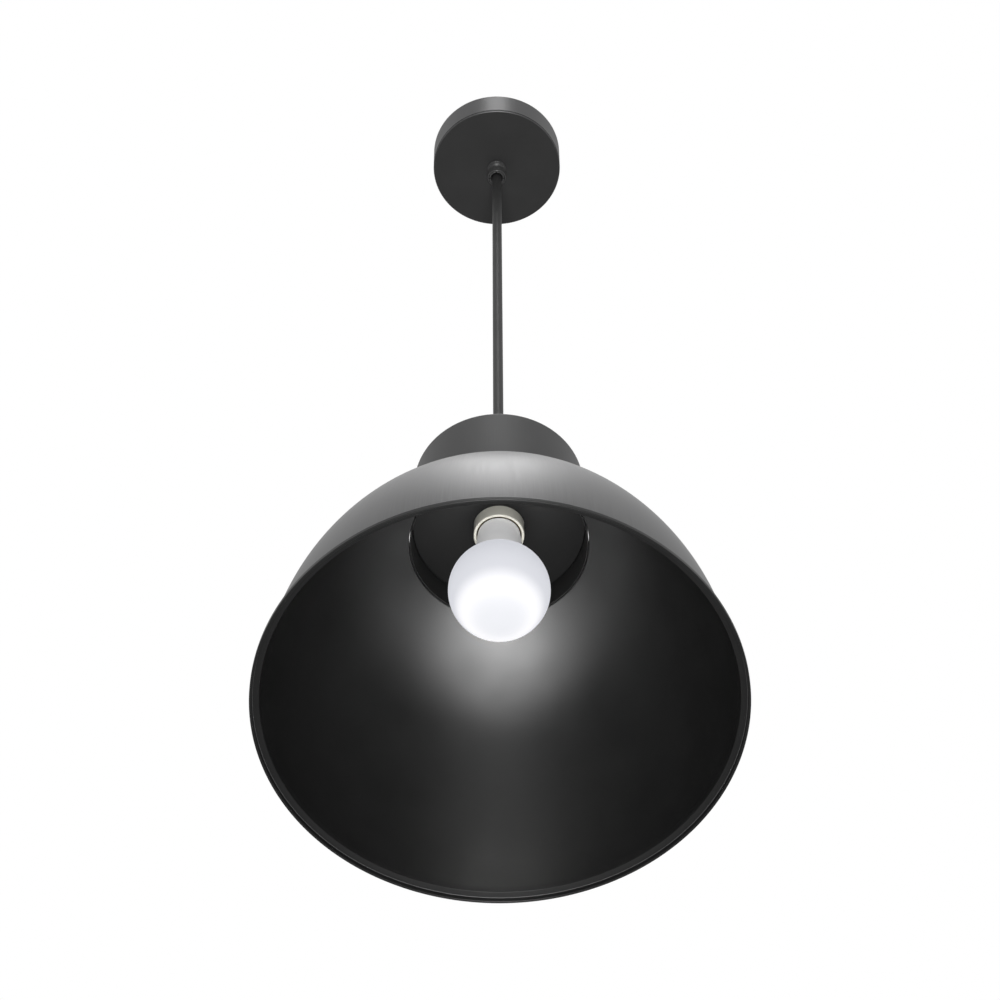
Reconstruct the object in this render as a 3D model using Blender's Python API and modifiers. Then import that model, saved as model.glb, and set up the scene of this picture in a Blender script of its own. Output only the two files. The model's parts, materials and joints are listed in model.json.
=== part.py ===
"""Pendant ceiling light: a ceiling cup, a cord held by two cord grips, and a dome shade on a neck can
that covers the lampholder and its bulb. Metres, +Z up. The ceiling is z = 0 and the lamp hangs from it."""

import math

import bmesh
import bpy
from mathutils import Quaternion, Vector

# Overall sizes
DROP = 0.744                 # ceiling to the rim of the shade
SHADE_RADIUS = 0.150         # over the hemmed rim
SHADE_HEIGHT = 0.1784        # rim to the foot of the collar
CANOPY_RADIUS = 0.050
CANOPY_HEIGHT = 0.0267
CAN_TOP_RADIUS = 0.0562
CAN_FOOT_RADIUS = 0.0579
CAN_RISE = 0.0718            # foot of the collar to the can's top
BULB_RADIUS = 0.0325
CORD_RADIUS = 0.00357

# Gaps: between pieces that touch, and round pieces that move
GAP = 0.0003
BORE_GAP = 0.00033

# Shade
SHADE_WALL = 0.001
DOME_ARC = 0.221             # radius of the dome's lower arc
ARC_DROP = 0.0024            # the arc's centre lies this far below the rim
ARC_TURN = math.radians(32)  # the arc ends where its normal has risen this far
NECK_SLOPE = math.radians(42)  # the dome's slope where it meets the collar
RIM_REACH = 0.0053           # the rim stands out this far from the wall
RIM_RISE = 0.0072            # height of the flared rim
RIM_BAND = 0.0033            # height of the hem's outer band
RIM_LIP = 0.0017             # width of the hem's foot
RIM_CORNER = 0.0005          # rounding of the hem
FLARE_RISE = 0.0021          # the flare turns up this far above the hem's band
FLARE_SHARE = 0.32           # and this share of the rim's reach out from the wall
BEND_IN, BEND_RISE = 0.0044, 0.0056  # the inner side's bend, from the rim's edge
COLLAR_SCREW = 0.005
COLLAR_HEIGHT = 0.008

# Neck can and the plate in it
CAN_WALL = 0.0009
CAN_EDGE = 0.0016            # rounding of its top edge
PLATE_RISE = 0.0206          # foot of the collar to the plate's underside
PLATE_WALL = 0.001
PLATE_FLANGE = 0.005
POST_RADIUS = 0.0035
POST_CIRCLE = 0.038
POST_THREAD = 0.010          # depth of a post's threaded hole
SCREW_SIDES = (90, 210, 330)  # degrees round the axis

# Canopy cup and ceiling bracket
CANOPY_WALL = 0.0008
CANOPY_EDGE = 0.0014
STRIP_WIDTH = 0.018
STRIP_WALL = 0.002
LUG_DEPTH = 0.014
SLOT_PLACE = 0.030           # slot centre from the axis
SLOT_LENGTH = 0.012
SLOT_WIDTH = 0.005
SET_SCREW_DEPTH = 0.008      # below the ceiling
SET_SCREW_RADIUS = 0.0019
SET_SCREW_LENGTH = 0.0062

# Terminal block
POLE_PITCH = 0.009
BLOCK_WIDTH = 0.017
BLOCK_DEPTH = 0.010
TUBE_RADIUS = 0.0024
TUBE_BORE = 0.0015
TUBE_LENGTH = 0.0152
CLAMP_PLACE = 0.0045         # clamp screw from the middle of its tube
CLAMP_RADIUS = 0.001
CLAMP_HEAD = 0.0015
BLOCK_SCREW_RADIUS = 0.0009

# Cord grips
GRIP_RADIUS = 0.00715
GRIP_LENGTH = 0.0173
STEM_RADIUS = 0.005          # hollow threaded stem, M10
COLLET_DEPTH = 0.008
COLLET_RADIUS = 0.006
MOUTH_SET_IN = 0.0014        # the cord bends this far inside the mouth
MOUTH_FLARE = 0.00495
MOUTH_LIP = 0.001            # depth of the flare
COLLET_SLIT = 0.0008
WASHER_RADIUS = 0.0085
WASHER_WALL = 0.0008
NUT_RADIUS = 0.0081          # over the corners
NUT_HEIGHT = 0.003
TAB_HALF = 0.003             # half width of the earth tab
CANOPY_STEM = 0.0062         # stem above the cup's bottom
CAN_STEM = 0.0137            # stem below the can's top

# Cord
BEND_LENGTH = 0.012          # the cord's flexing length
CORD_SET_IN = 0.006          # the straight cord enters the lower grip by this much
CORD_STUB = 0.001            # a clamped end stands this far out of its stem
CORE_RADIUS = 0.0011
CORE_PLACE = 0.0019          # a core's centre from the cord's axis
CORE_LOOP = 0.0042           # the supply side's cores loop this far below and before the block
CORE_LEAD = 0.0025           # the lamp side's cores run this far before they bend
EARTH_LOOP = 0.003           # the earth core loops this far out of the holder

# Lampholder, E27
HOLDER_RADIUS = 0.0165
HOLDER_WALL = 0.0018
HOLDER_SET_OUT = 0.0102      # its lower lip stands this far below the plate
SKIRT_HEIGHT = 0.033
THREAD_PITCH = 0.003629
THREAD_DEPTH = 0.001
CAP_ROOT = 0.0121            # root radius of the bulb's thread
THREAD_GAP = 0.0005
SHELL_WALL = 0.0005
SHELL_HEIGHT = 0.0256
SHELL_SET_UP = 0.0015        # the brass shell starts this far above the lip
SHELL_THREAD = (0.0004, 0.0182)  # its thread's ends above its own foot
CAP_OUTLINE = ((0.52, 1), (0.58, 0.8), (0.9, 0.62), (1, 0.5), (1, 0))  # shares of radius and rise
INSERT_HEIGHT = 0.008
CONTACT_WALL = 0.0006
TONGUE_HALF = 0.0022
TONGUE_BENDS = (-0.0075, -0.0035, 0.0, 0.003)
CORE_HOLE_X, CORE_HOLE_Y = 0.007, 0.0031
EARTH_HOLE_RISE = 0.0074     # above the skirt's top
TAB_REACH = 0.0165           # the earth tab's end from the axis

# Bulb
BULB_WALL = 0.001
NECK_RADIUS = 0.0157         # where the globe ends
NECK_TOP_RADIUS = 0.0138
NECK_WALL = 0.0015
NECK_LENGTH = 0.028
SHOULDER = 0.0061            # height of the globe's concave shoulder
SHOULDER_LEAN = math.radians(11)
SPIGOT_WALL = 0.0012
SPIGOT_LENGTH = 0.006        # the neck reaches this far into the cap
BOARD_WALL = 0.0012
CAP_SET_UP = 0.0009          # the bulb's cap starts this far above the holder's lip
CAP_LENGTH = 0.0184
CAP_WALL = 0.0005
CAP_ROLL = 0.0014            # width of its rolled end
CAP_CORNER = 0.0006
CAP_THREAD = (0.0012, 0.0172)  # its thread's ends above its own foot
GLASS_EDGE = 0.0008
TIP_DEPTH = 0.0018           # from the contact's face to the glass
TIP_RADIUS = 0.0048
TIP_RISE = 0.0065            # the contact's face above the cap

# Machine screws of the lamp head, M3
SCREW_RADIUS = 0.0015
SCREW_HOLE = SCREW_RADIUS + GAP
SCREW_RISE = 0.0042          # collar screws above the collar's foot

# Sides of round pieces
FINE, ROUND, GLOBE, PLAIN, CORD_SIDES, SMALL, TINY = 48, 40, 28, 24, 16, 12, 8

# Levels worked out from the sizes above
RIM_Z = -DROP
COLLAR_Z = RIM_Z + SHADE_HEIGHT
CAN_Z = COLLAR_Z + CAN_RISE
PLATE_Z = COLLAR_Z + PLATE_RISE
CUP_Z = -CANOPY_HEIGHT
GRIP_Z = CUP_Z - GRIP_LENGTH
SWING_Z = GRIP_Z + MOUTH_SET_IN
BEND_Z = SWING_Z - BEND_LENGTH
CAN_GRIP_Z = CAN_Z + GRIP_LENGTH
CORD_FOOT_Z = CAN_GRIP_Z - CORD_SET_IN
HOLDER_Z = PLATE_Z - HOLDER_SET_OUT
BORE_RADIUS = CORD_RADIUS + BORE_GAP
STEM_HOLE = STEM_RADIUS + GAP
CUP_RADIUS = CORD_RADIUS + GAP  # hollow end round the cord's flexing end
INSERT_Z = HOLDER_Z + SHELL_SET_UP + SHELL_HEIGHT + GAP
BULB_TIP_Z = HOLDER_Z + CAP_SET_UP + CAP_LENGTH + TIP_RISE


# Helpers

def clear_scene():
    for obj in list(bpy.data.objects):
        bpy.data.objects.remove(obj, do_unlink=True)


def new_collection(name):
    found = bpy.data.collections.new(name)
    bpy.context.scene.collection.children.link(found)
    return found


def finish(name, colour, roughness, metallic=0.0, alpha=1.0):
    """A plain Principled material."""
    made = bpy.data.materials.new(name)
    made.use_nodes = True
    shader = made.node_tree.nodes["Principled BSDF"]
    shader.inputs["Base Color"].default_value = (*colour, 1.0)
    shader.inputs["Roughness"].default_value = roughness
    shader.inputs["Metallic"].default_value = metallic
    shader.inputs["Alpha"].default_value = alpha
    return made


def pivot(name, z, parent=None):
    """An empty that one moving group hangs from."""
    empty = bpy.data.objects.new(name, None)
    LAMP.objects.link(empty)
    empty.parent = parent
    empty.location = (0, 0, z - (parent.matrix_world.translation.z if parent else 0))
    bpy.context.view_layer.update()
    return empty


def add(name, data, look, group, at=(0, 0, 0), facing=(0, 0, 1)):
    """A named object of the lamp, its own +Z turned to face a direction."""
    obj = bpy.data.objects.new(name, data)
    if look:
        data.materials.append(look)
    (LAMP if look else CUTTERS).objects.link(obj)
    origin = group.matrix_world.translation if group else Vector()
    obj.parent = group
    obj.location = Vector(at) - origin
    obj.rotation_mode = "QUATERNION"
    obj.rotation_quaternion = Vector((0, 0, 1)).rotation_difference(Vector(facing))
    if not look:
        obj.hide_render = True
        obj.display_type = "WIRE"
    return obj


def turned(name, profile, look, group=None, at=(0, 0, 0), facing=(0, 0, 1), sides=PLAIN, ring=True):
    """A lathe piece. The profile of (radius, height) runs down the outer side; a ring's profile is closed."""
    edges = [(k, k + 1) for k in range(len(profile) - 1)]
    if ring:
        edges.append((len(profile) - 1, 0))
    mesh = bpy.data.meshes.new(name)
    mesh.from_pydata([(r, 0, z) for r, z in profile], edges, [])
    obj = add(name, mesh, look, group, at, facing)
    screw = obj.modifiers.new("turn", "SCREW")
    screw.axis = "Z"
    screw.steps = sides
    screw.render_steps = sides
    screw.use_merge_vertices = True
    screw.merge_threshold = 0.00001
    screw.use_smooth_shade = True
    return obj


def tube_profile(outer, inner, low, high):
    return [(inner, high), (outer, high), (outer, low), (inner, low)]


def plug_cutter(name, radius, start, end):
    """A closed cylinder from start to end, for cutting a hole. It is turned half a side about itself."""
    start, end = Vector(start), Vector(end)
    length = (end - start).length
    profile = [(0, length), (radius, length), (radius, 0), (0, 0)]
    cutter = turned(name, profile, None, None, start, end - start, SMALL, ring=False)
    cutter.rotation_quaternion @= Quaternion((0, 0, 1), math.pi / SMALL)
    return cutter


def cut(obj, cutter):
    boolean = obj.modifiers.new(cutter.name, "BOOLEAN")
    boolean.operation = "DIFFERENCE"
    boolean.solver = "EXACT"
    boolean.object = cutter


def bored(obj, name, radius, start, end):
    cut(obj, plug_cutter(name, radius, start, end))


def applied(obj):
    """The object's evaluated shape, welded, as its own mesh."""
    bpy.context.view_layer.update()
    graph = bpy.context.evaluated_depsgraph_get()
    mesh = bpy.data.meshes.new_from_object(obj.evaluated_get(graph))
    obj.modifiers.clear()
    obj.data = mesh
    return obj


def flat_piece(name, outlines, thickness, look, group=None, at=(0, 0, 0), facing=(0, 0, 1)):
    """A sheet with these closed outlines, the first its edge and the others its holes."""
    curve = bpy.data.curves.new(name, "CURVE")
    curve.dimensions = "2D"
    curve.fill_mode = "BOTH"
    curve.extrude = thickness / 2
    for outline in outlines:
        spline = curve.splines.new("POLY")
        spline.points.add(len(outline) - 1)
        for point, (x, y) in zip(spline.points, outline):
            point.co = (x, y, 0, 1)
        spline.use_cyclic_u = True
    return add(name, curve, look, group, at, facing)


def as_mesh(obj):
    """A curve object made a mesh with welded caps, so that it can be cut."""
    bpy.context.view_layer.update()
    graph = bpy.context.evaluated_depsgraph_get()
    mesh = bpy.data.meshes.new_from_object(obj.evaluated_get(graph))
    weld = bmesh.new()
    weld.from_mesh(mesh)
    bmesh.ops.remove_doubles(weld, verts=weld.verts, dist=0.000001)
    weld.to_mesh(mesh)
    weld.free()
    name, look, group, place = obj.name, obj.data.materials[0], obj.parent, obj.matrix_basis.copy()
    bpy.data.objects.remove(obj, do_unlink=True)
    made = bpy.data.objects.new(name, mesh)
    LAMP.objects.link(made)
    mesh.materials.clear()
    mesh.materials.append(look)
    made.parent = group
    made.matrix_basis = place
    return made


def wire(name, route, radius, look, group, steps=2):
    """A round wire along a smooth curve through the route's points."""
    points = smooth_route(route, steps)
    origin = group.matrix_world.translation if group else Vector()
    curve = bpy.data.curves.new(name, "CURVE")
    curve.dimensions = "3D"
    curve.bevel_depth = radius
    curve.bevel_resolution = 2
    curve.use_fill_caps = True
    spline = curve.splines.new("POLY")
    spline.points.add(len(points) - 1)
    for point, place in zip(spline.points, points):
        point.co = (*(place - origin), 1)
    return add(name, curve, look, group, origin)


def smooth_route(route, steps):
    """Catmull-Rom points through the route, with so many steps a stretch."""
    route = [Vector(point) for point in route]
    padded = [route[0] * 2 - route[1], *route, route[-1] * 2 - route[-2]]
    points = [route[0]]
    for a, b, c, d in zip(padded, padded[1:], padded[2:], padded[3:]):
        for step in range(1, steps + 1):
            t = step / steps
            points.append(0.5 * (2 * b + (c - a) * t + (2 * a - 5 * b + 4 * c - d) * t * t
                                 + (3 * b - a - 3 * c + d) * t ** 3))
    return points


def arc(centre, radius, start, end, count):
    """Points on an arc, its angles taken up from the outward radius."""
    angles = [start + (end - start) * k / count for k in range(count + 1)]
    return [(centre[0] + radius * math.cos(a), centre[1] + radius * math.sin(a)) for a in angles]


def bezier(a, b, c, d, count):
    """Points on a cubic curve after its start."""
    found = []
    for k in range(1, count + 1):
        t = k / count
        parts = ((1 - t) ** 3, 3 * t * (1 - t) ** 2, 3 * t * t * (1 - t), t ** 3)
        found.append(tuple(sum(w * p[axis] for w, p in zip(parts, (a, b, c, d))) for axis in (0, 1)))
    return found


def inset(profile, distance):
    """The profile moved to its inner side by a wall's thickness, with mitred corners."""
    normals = []
    for (r0, z0), (r1, z1) in zip(profile, profile[1:]):
        length = math.hypot(r1 - r0, z1 - z0)
        normals.append(((z1 - z0) / length, (r0 - r1) / length))
    found = []
    for k, (r, z) in enumerate(profile):
        first, second = normals[max(k - 1, 0)], normals[min(k, len(normals) - 1)]
        share = distance / (1 + first[0] * second[0] + first[1] * second[1])
        found.append((r + (first[0] + second[0]) * share, z + (first[1] + second[1]) * share))
    return found


def circle(radius, sides, turn=0.0, centre=(0, 0)):
    angles = [turn + 2 * math.pi * k / sides for k in range(sides)]
    return [(centre[0] + radius * math.cos(a), centre[1] + radius * math.sin(a)) for a in angles]


def round_place(radius, degrees, z):
    angle = math.radians(degrees)
    return (radius * math.cos(angle), radius * math.sin(angle), z)


def machine_screw(name, at, facing, radius, length, head_radius, head_height, look, group):
    """A round-headed screw. Its head stands on the point at and faces that way."""
    profile = [
        (0, head_height),
        (head_radius * 0.7, head_height),
        (head_radius, head_height * 0.55),
        (head_radius, 0),
        (radius, 0),
        (radius, -length),
        (0, -length),
    ]
    return turned(name, profile, look, group, at, facing, TINY, ring=False)


# Outlines that more than one piece uses

def can_outer(z):
    """The can's outer radius at a height: it tapers evenly from its foot to its top."""
    share = (z - COLLAR_Z) / CAN_RISE
    return CAN_FOOT_RADIUS + (CAN_TOP_RADIUS - CAN_FOOT_RADIUS) * share


def can_inner(z):
    return can_outer(z) - CAN_WALL


def dome_outer():
    """The dome's outer side from the collar's foot down to the flared rim."""
    collar = CAN_FOOT_RADIUS + GAP + SHADE_WALL
    wall = SHADE_RADIUS - RIM_REACH
    centre = (wall - DOME_ARC, RIM_Z - ARC_DROP)
    low = math.asin((RIM_RISE + ARC_DROP) / DOME_ARC)
    lower = arc(centre, DOME_ARC, ARC_TURN, low, 7)
    start = (collar, COLLAR_Z)
    end = lower[0]
    reach = math.hypot(end[0] - start[0], end[1] - start[1]) / 3
    leave = (start[0] + reach * math.cos(NECK_SLOPE), start[1] - reach * math.sin(NECK_SLOPE))
    arrive = (end[0] - reach * math.sin(ARC_TURN), end[1] + reach * math.cos(ARC_TURN))
    return [start, *bezier(start, leave, arrive, end, 4), *lower[1:]]


# Pieces at the ceiling

def ceiling_bracket():
    """A steel strip across the cup, with an end bent down at each side."""
    end = CANOPY_RADIUS - CANOPY_WALL - GAP
    reach = math.sqrt(end ** 2 - (STRIP_WIDTH / 2) ** 2) - GAP
    path = [(-reach, -LUG_DEPTH), (-reach, 0), (reach, 0), (reach, -LUG_DEPTH)]
    half = STRIP_WIDTH / 2
    corners = [(x, y, z) for x, z in path for y in (-half, half)]
    faces = [(k, k + 1, k + 3, k + 2) for k in (0, 2, 4)]
    mesh = bpy.data.meshes.new("ceiling_bracket")
    mesh.from_pydata(corners, [], faces)
    strip = add("ceiling_bracket", mesh, STEEL, None)
    solid = strip.modifiers.new("sheet", "SOLIDIFY")
    solid.thickness = STRIP_WALL
    solid.offset = 1
    solid.use_even_offset = True
    for side in (-1, 1):
        tag = "left" if side < 0 else "right"
        slot = flat_piece(f"slot_{tag}", [slot_outline(SLOT_LENGTH, SLOT_WIDTH)], STRIP_WALL * 3, STEEL,
                          at=(side * SLOT_PLACE, 0, 0))
        slot = as_mesh(slot)
        move_to_cutters(slot)
        cut(strip, slot)
        bored(strip, f"lug_hole_{tag}", SET_SCREW_RADIUS + GAP,
              (side * (reach - 2 * STRIP_WALL), 0, -SET_SCREW_DEPTH),
              (side * (reach + STRIP_WALL), 0, -SET_SCREW_DEPTH))
    bored(strip, "block_screw_hole", BLOCK_SCREW_RADIUS + GAP, (POLE_PITCH / 2, 0, -2 * STRIP_WALL),
          (POLE_PITCH / 2, 0, STRIP_WALL))


def slot_outline(length, width):
    ends = []
    for side, turn in ((1, -math.pi / 2), (-1, math.pi / 2)):
        middle = side * (length - width) / 2
        for step in range(7):
            angle = turn + math.pi * step / 6
            ends.append((middle + width / 2 * math.cos(angle), width / 2 * math.sin(angle)))
    return ends


def move_to_cutters(obj):
    LAMP.objects.unlink(obj)
    CUTTERS.objects.link(obj)
    obj.hide_render = True
    obj.display_type = "WIRE"


def canopy_cup():
    radius, edge, wall = CANOPY_RADIUS, CANOPY_EDGE, CANOPY_WALL
    outer = [(radius, 0)]
    outer += arc((radius - edge, CUP_Z + edge), edge, 0, -math.pi / 2, 3)
    outer.append((STEM_HOLE, CUP_Z))
    cup = turned("canopy_cup", outer + inset(outer, wall)[::-1], CHARCOAL, sides=ROUND)
    for side, tag in ((-1, "left"), (1, "right")):
        bored(cup, f"cup_hole_{tag}", SET_SCREW_RADIUS + GAP,
              (side * (radius - 3 * wall), 0, -SET_SCREW_DEPTH),
              (side * (radius + wall), 0, -SET_SCREW_DEPTH))


def canopy_set_screws():
    """Socket grub screws, driven outward through the lugs until they sit flush in the cup's holes."""
    for number, side in ((1, -1), (2, 1)):
        length, radius = SET_SCREW_LENGTH, SET_SCREW_RADIUS
        socket = radius * 0.5
        profile = [(0, -length * 0.4), (socket, -length * 0.4), (socket, 0), (radius, 0),
                   (radius, -length), (0, -length)]
        turned(f"canopy_set_screw_{number}", profile, ZINC,
               at=(side * (CANOPY_RADIUS - GAP), 0, -SET_SCREW_DEPTH),
               facing=(side, 0, 0), sides=SMALL, ring=False)


def terminal_block():
    """An insulating block with three brass tubes, each with two clamp screws in wells."""
    top = -STRIP_WALL - GAP
    size = Vector((3 * POLE_PITCH, BLOCK_WIDTH, BLOCK_DEPTH))
    mesh = bpy.data.meshes.new("terminal_block")
    shape = bmesh.new()
    bmesh.ops.create_cube(shape, size=1)
    bmesh.ops.scale(shape, vec=size, verts=shape.verts)
    shape.to_mesh(mesh)
    shape.free()
    block = add("terminal_block", mesh, NATURAL, None, (0, 0, top - BLOCK_DEPTH / 2))
    low, axis = top - BLOCK_DEPTH, top - BLOCK_DEPTH * 0.4
    half = BLOCK_WIDTH / 2
    for number, pole in enumerate((-POLE_PITCH, 0, POLE_PITCH), 1):
        bored(block, f"pole_bore_{number}", TUBE_RADIUS + GAP, (pole, -half * 1.2, axis),
              (pole, half * 1.2, axis))
        tube = turned(f"terminal_tube_{number}",
                      tube_profile(TUBE_RADIUS, TUBE_BORE, -TUBE_LENGTH / 2, TUBE_LENGTH / 2),
                      BRASS, at=(pole, 0, axis), facing=(0, 1, 0), sides=SMALL)
        for side, place in enumerate((-CLAMP_PLACE, CLAMP_PLACE)):
            tag = 2 * number - 1 + side
            well = CLAMP_HEAD + GAP
            bored(block, f"well_{tag}", well, (pole, place, low - GAP), (pole, place, axis))
            bored(tube, f"clamp_hole_{tag}", CLAMP_RADIUS + GAP, (pole, place, low), (pole, place, axis))
            head = low + GAP + CLAMP_HEAD
            tip = axis - CORE_RADIUS - GAP
            machine_screw(f"terminal_screw_{tag}", (pole, place, head), (0, 0, -1), CLAMP_RADIUS,
                          tip - head, CLAMP_HEAD, CLAMP_HEAD, ZINC, None)
    place = (POLE_PITCH / 2, 0)
    bored(block, "block_screw_way", BLOCK_SCREW_RADIUS + GAP, (*place, low - GAP), (*place, top + GAP))
    machine_screw("terminal_block_screw", (*place, low - GAP), (0, 0, -1), BLOCK_SCREW_RADIUS,
                  BLOCK_DEPTH + STRIP_WALL, 2 * BLOCK_SCREW_RADIUS, CLAMP_HEAD, ZINC, None)


def cord_grip(prefix, mouth_z, seat_z, stem, look, group):
    """A barrel whose hollow stem goes through a cup, with a slit collet in its mouth. It lies along Z, and
    its mouth faces away from the seat."""
    facing = (0, 0, 1) if mouth_z > seat_z else (0, 0, -1)
    length = abs(mouth_z - seat_z)
    edge = GRIP_RADIUS * 0.1
    pocket = COLLET_RADIUS + GAP
    body = [
        (BORE_RADIUS, length - COLLET_DEPTH - GAP),
        (pocket, length - COLLET_DEPTH - GAP),
        (pocket, length),
        (GRIP_RADIUS - edge, length),
        (GRIP_RADIUS, length - edge),
        (GRIP_RADIUS, GAP),
        (STEM_RADIUS, GAP),
        (STEM_RADIUS, -stem),
        (BORE_RADIUS, -stem),
    ]
    at = (0, 0, seat_z)
    turned(f"{prefix}_grip_body", body, look, group, at, facing)
    bore = BORE_RADIUS + GAP / 6
    collet = [
        (MOUTH_FLARE, length),
        (COLLET_RADIUS, length),
        (COLLET_RADIUS, length - COLLET_DEPTH),
        (bore, length - COLLET_DEPTH),
        (bore, length - MOUTH_SET_IN - MOUTH_LIP),
        (bore + GAP, length - MOUTH_SET_IN),
    ]
    piece = turned(f"{prefix}_grip_collet", collet, look, group, at, facing)
    way = 1 if mouth_z > seat_z else -1
    slit = box_cutter(f"{prefix}_collet_slit", (2 * COLLET_RADIUS, COLLET_SLIT, 1.2 * COLLET_DEPTH),
                      (COLLET_RADIUS, 0, mouth_z - way * COLLET_DEPTH / 2))
    cut(piece, slit)


def box_cutter(name, size, centre):
    mesh = bpy.data.meshes.new(name)
    shape = bmesh.new()
    bmesh.ops.create_cube(shape, size=1)
    bmesh.ops.scale(shape, vec=Vector(size), verts=shape.verts)
    shape.to_mesh(mesh)
    shape.free()
    return add(name, mesh, None, None, centre)


def hex_nut(name, z, look, group):
    """A lock nut on a grip's stem, its middle at this height."""
    outlines = [circle(NUT_RADIUS, 6), circle(STEM_HOLE, PLAIN)]
    flat_piece(name, outlines, NUT_HEIGHT, look, group, (0, 0, z))


def canopy_washer_and_nut():
    floor = CUP_Z + CANOPY_WALL + GAP
    turned("canopy_grip_washer", tube_profile(WASHER_RADIUS, STEM_HOLE, 0, WASHER_WALL), ZINC,
           at=(0, 0, floor))
    hex_nut("canopy_grip_nut", floor + WASHER_WALL + GAP + NUT_HEIGHT / 2, ZINC, None)


# The cord

def cord_top_end():
    """The clamped length. Its foot is hollow, to clear the flexing length that turns below it."""
    top = CUP_Z + CANOPY_STEM + CORD_STUB
    profile = [(0, top - SWING_Z), (CORD_RADIUS, top - SWING_Z)]
    low = math.acos(CORD_RADIUS / CUP_RADIUS)
    hollow = arc((0, 0), CUP_RADIUS, low, math.pi / 2, 4)
    turned("cord_top_end", profile + hollow[:-1] + [(0, CUP_RADIUS)], CORD_BLACK, None, (0, 0, SWING_Z),
           sides=CORD_SIDES, ring=False)
    start = top + GAP
    axis = -STRIP_WALL - GAP - BLOCK_DEPTH * 0.4
    under = -STRIP_WALL - GAP - BLOCK_DEPTH
    mouth = -BLOCK_WIDTH / 2
    for number, pole, degrees in ((1, -POLE_PITCH, 150), (2, 0, 270), (3, POLE_PITCH, 30)):
        first = round_place(CORE_PLACE, degrees, start)
        below = under - CORE_LOOP
        route = [
            first,
            (first[0] + pole * 0.06, first[1] - GAP, start + CORE_RADIUS),
            (pole * 0.7, mouth * 0.45, below),
            (pole, mouth - CORE_LOOP * 0.36, below + CORE_LOOP * 0.38),
            (pole, mouth - CORE_LOOP, (below + axis) / 2),
            (pole, mouth - CORE_LOOP * 0.52, axis - GAP),
            (pole, mouth, axis),
            (pole, -CLAMP_PLACE + CORE_RADIUS, axis),
        ]
        wire(f"top_core_{number}", route, CORE_RADIUS, CORES[number - 1], None)


def cord_bend():
    """The flexing length: its top is a ball about the first pivot, its foot is hollow about the second."""
    top = arc((0, 0), CORD_RADIUS, math.pi / 2, 0, 4)
    low = math.acos(CORD_RADIUS / CUP_RADIUS)
    foot = arc((0, -BEND_LENGTH), CUP_RADIUS, low, math.pi / 2, 4)
    profile = [(0, CORD_RADIUS)] + top[1:] + foot[:-1] + [(0, CUP_RADIUS - BEND_LENGTH)]
    turned("cord_bend", profile, CORD_BLACK, SWING, (0, 0, SWING_Z), sides=CORD_SIDES, ring=False)


def suspension_cord():
    """The straight cord between the two grips."""
    count = math.ceil((BEND_Z - CORD_FOOT_Z) / (5 * CORD_RADIUS))
    step = (BEND_Z - CORD_FOOT_Z) / count
    route = [(0, 0, BEND_Z - k * step) for k in range(count + 1)]
    wire("suspension_cord", route, CORD_RADIUS, CORD_BLACK, CORD, steps=1)


def cord_bottom_end():
    """The cord's clamped lower length, and its cores to the lampholder and to the earth tab."""
    top, foot = CORD_FOOT_Z - GAP, CAN_Z - CAN_STEM - CORD_STUB
    turned("cord_bottom_end", [(0, top - foot), (CORD_RADIUS, top - foot), (CORD_RADIUS, 0), (0, 0)],
           CORD_BLACK, HEAD, (0, 0, foot), sides=CORD_SIDES, ring=False)
    start = foot - GAP
    insert = INSERT_Z + INSERT_HEIGHT
    for number, side, degrees in ((1, -1, 150), (2, 1, 30)):
        first = round_place(CORE_PLACE, degrees, start)
        hole = (side * CORE_HOLE_X, CORE_HOLE_Y)
        route = [
            first,
            (first[0] * 1.3, first[1] * 1.3, start - CORE_LEAD * 0.8),
            (hole[0] * 0.85, hole[1] * 0.85, (start + insert) / 2),
            (*hole, insert + CORE_RADIUS),
            (*hole, insert - INSERT_HEIGHT * 0.7),
        ]
        wire(f"bottom_core_{number}", route, CORE_RADIUS, CORES[number - 1], HEAD)
    side = HOLDER_RADIUS
    exit_z = HOLDER_Z + SKIRT_HEIGHT + EARTH_HOLE_RISE
    tab = CAN_Z - CAN_WALL - 2 * GAP - WASHER_WALL - CORE_RADIUS
    route = [
        (0, -CORE_PLACE, start),
        (0, -CORE_PLACE - CORE_RADIUS, start - CORE_LEAD),
        (0, -side * 0.62, exit_z),
        (0, -side, exit_z),
        (0, -side - EARTH_LOOP, exit_z + EARTH_LOOP * 0.93),
        (0, -side - EARTH_LOOP * 0.87, (exit_z + tab) / 2 + EARTH_LOOP * 0.67),
        (0, -TAB_REACH - CORE_RADIUS / 2, tab - 2 * CORE_RADIUS),
        (0, -TAB_REACH + 2 * CORE_RADIUS, tab),
    ]
    wire("bottom_core_3", route, CORE_RADIUS, CORES[2], HEAD)


# The lamp head

def neck_can():
    edge, top, foot = CAN_EDGE, CAN_Z, COLLAR_Z - GAP
    outer = [(STEM_HOLE, top)]
    outer += arc((can_outer(top) - edge, top - edge), edge, math.pi / 2, 0, 3)
    outer.append((can_outer(foot), foot))
    can = turned("neck_can", outer + inset(outer, CAN_WALL)[::-1], CHARCOAL, HEAD, sides=ROUND)
    for number, degrees in enumerate(SCREW_SIDES, 1):
        x, y, _ = round_place(POST_CIRCLE, degrees, 0)
        bored(can, f"top_hole_{number}", SCREW_HOLE, (x, y, top - 3 * CAN_WALL), (x, y, top + CAN_WALL))
        collar_hole(can, f"can_side_hole_{number}", degrees)


def collar_hole(obj, name, degrees):
    z = COLLAR_Z + SCREW_RISE
    bored(obj, name, SCREW_HOLE, round_place(CAN_FOOT_RADIUS - 4 * CAN_WALL, degrees, z),
          round_place(CAN_FOOT_RADIUS + 4 * SHADE_WALL, degrees, z))


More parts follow.
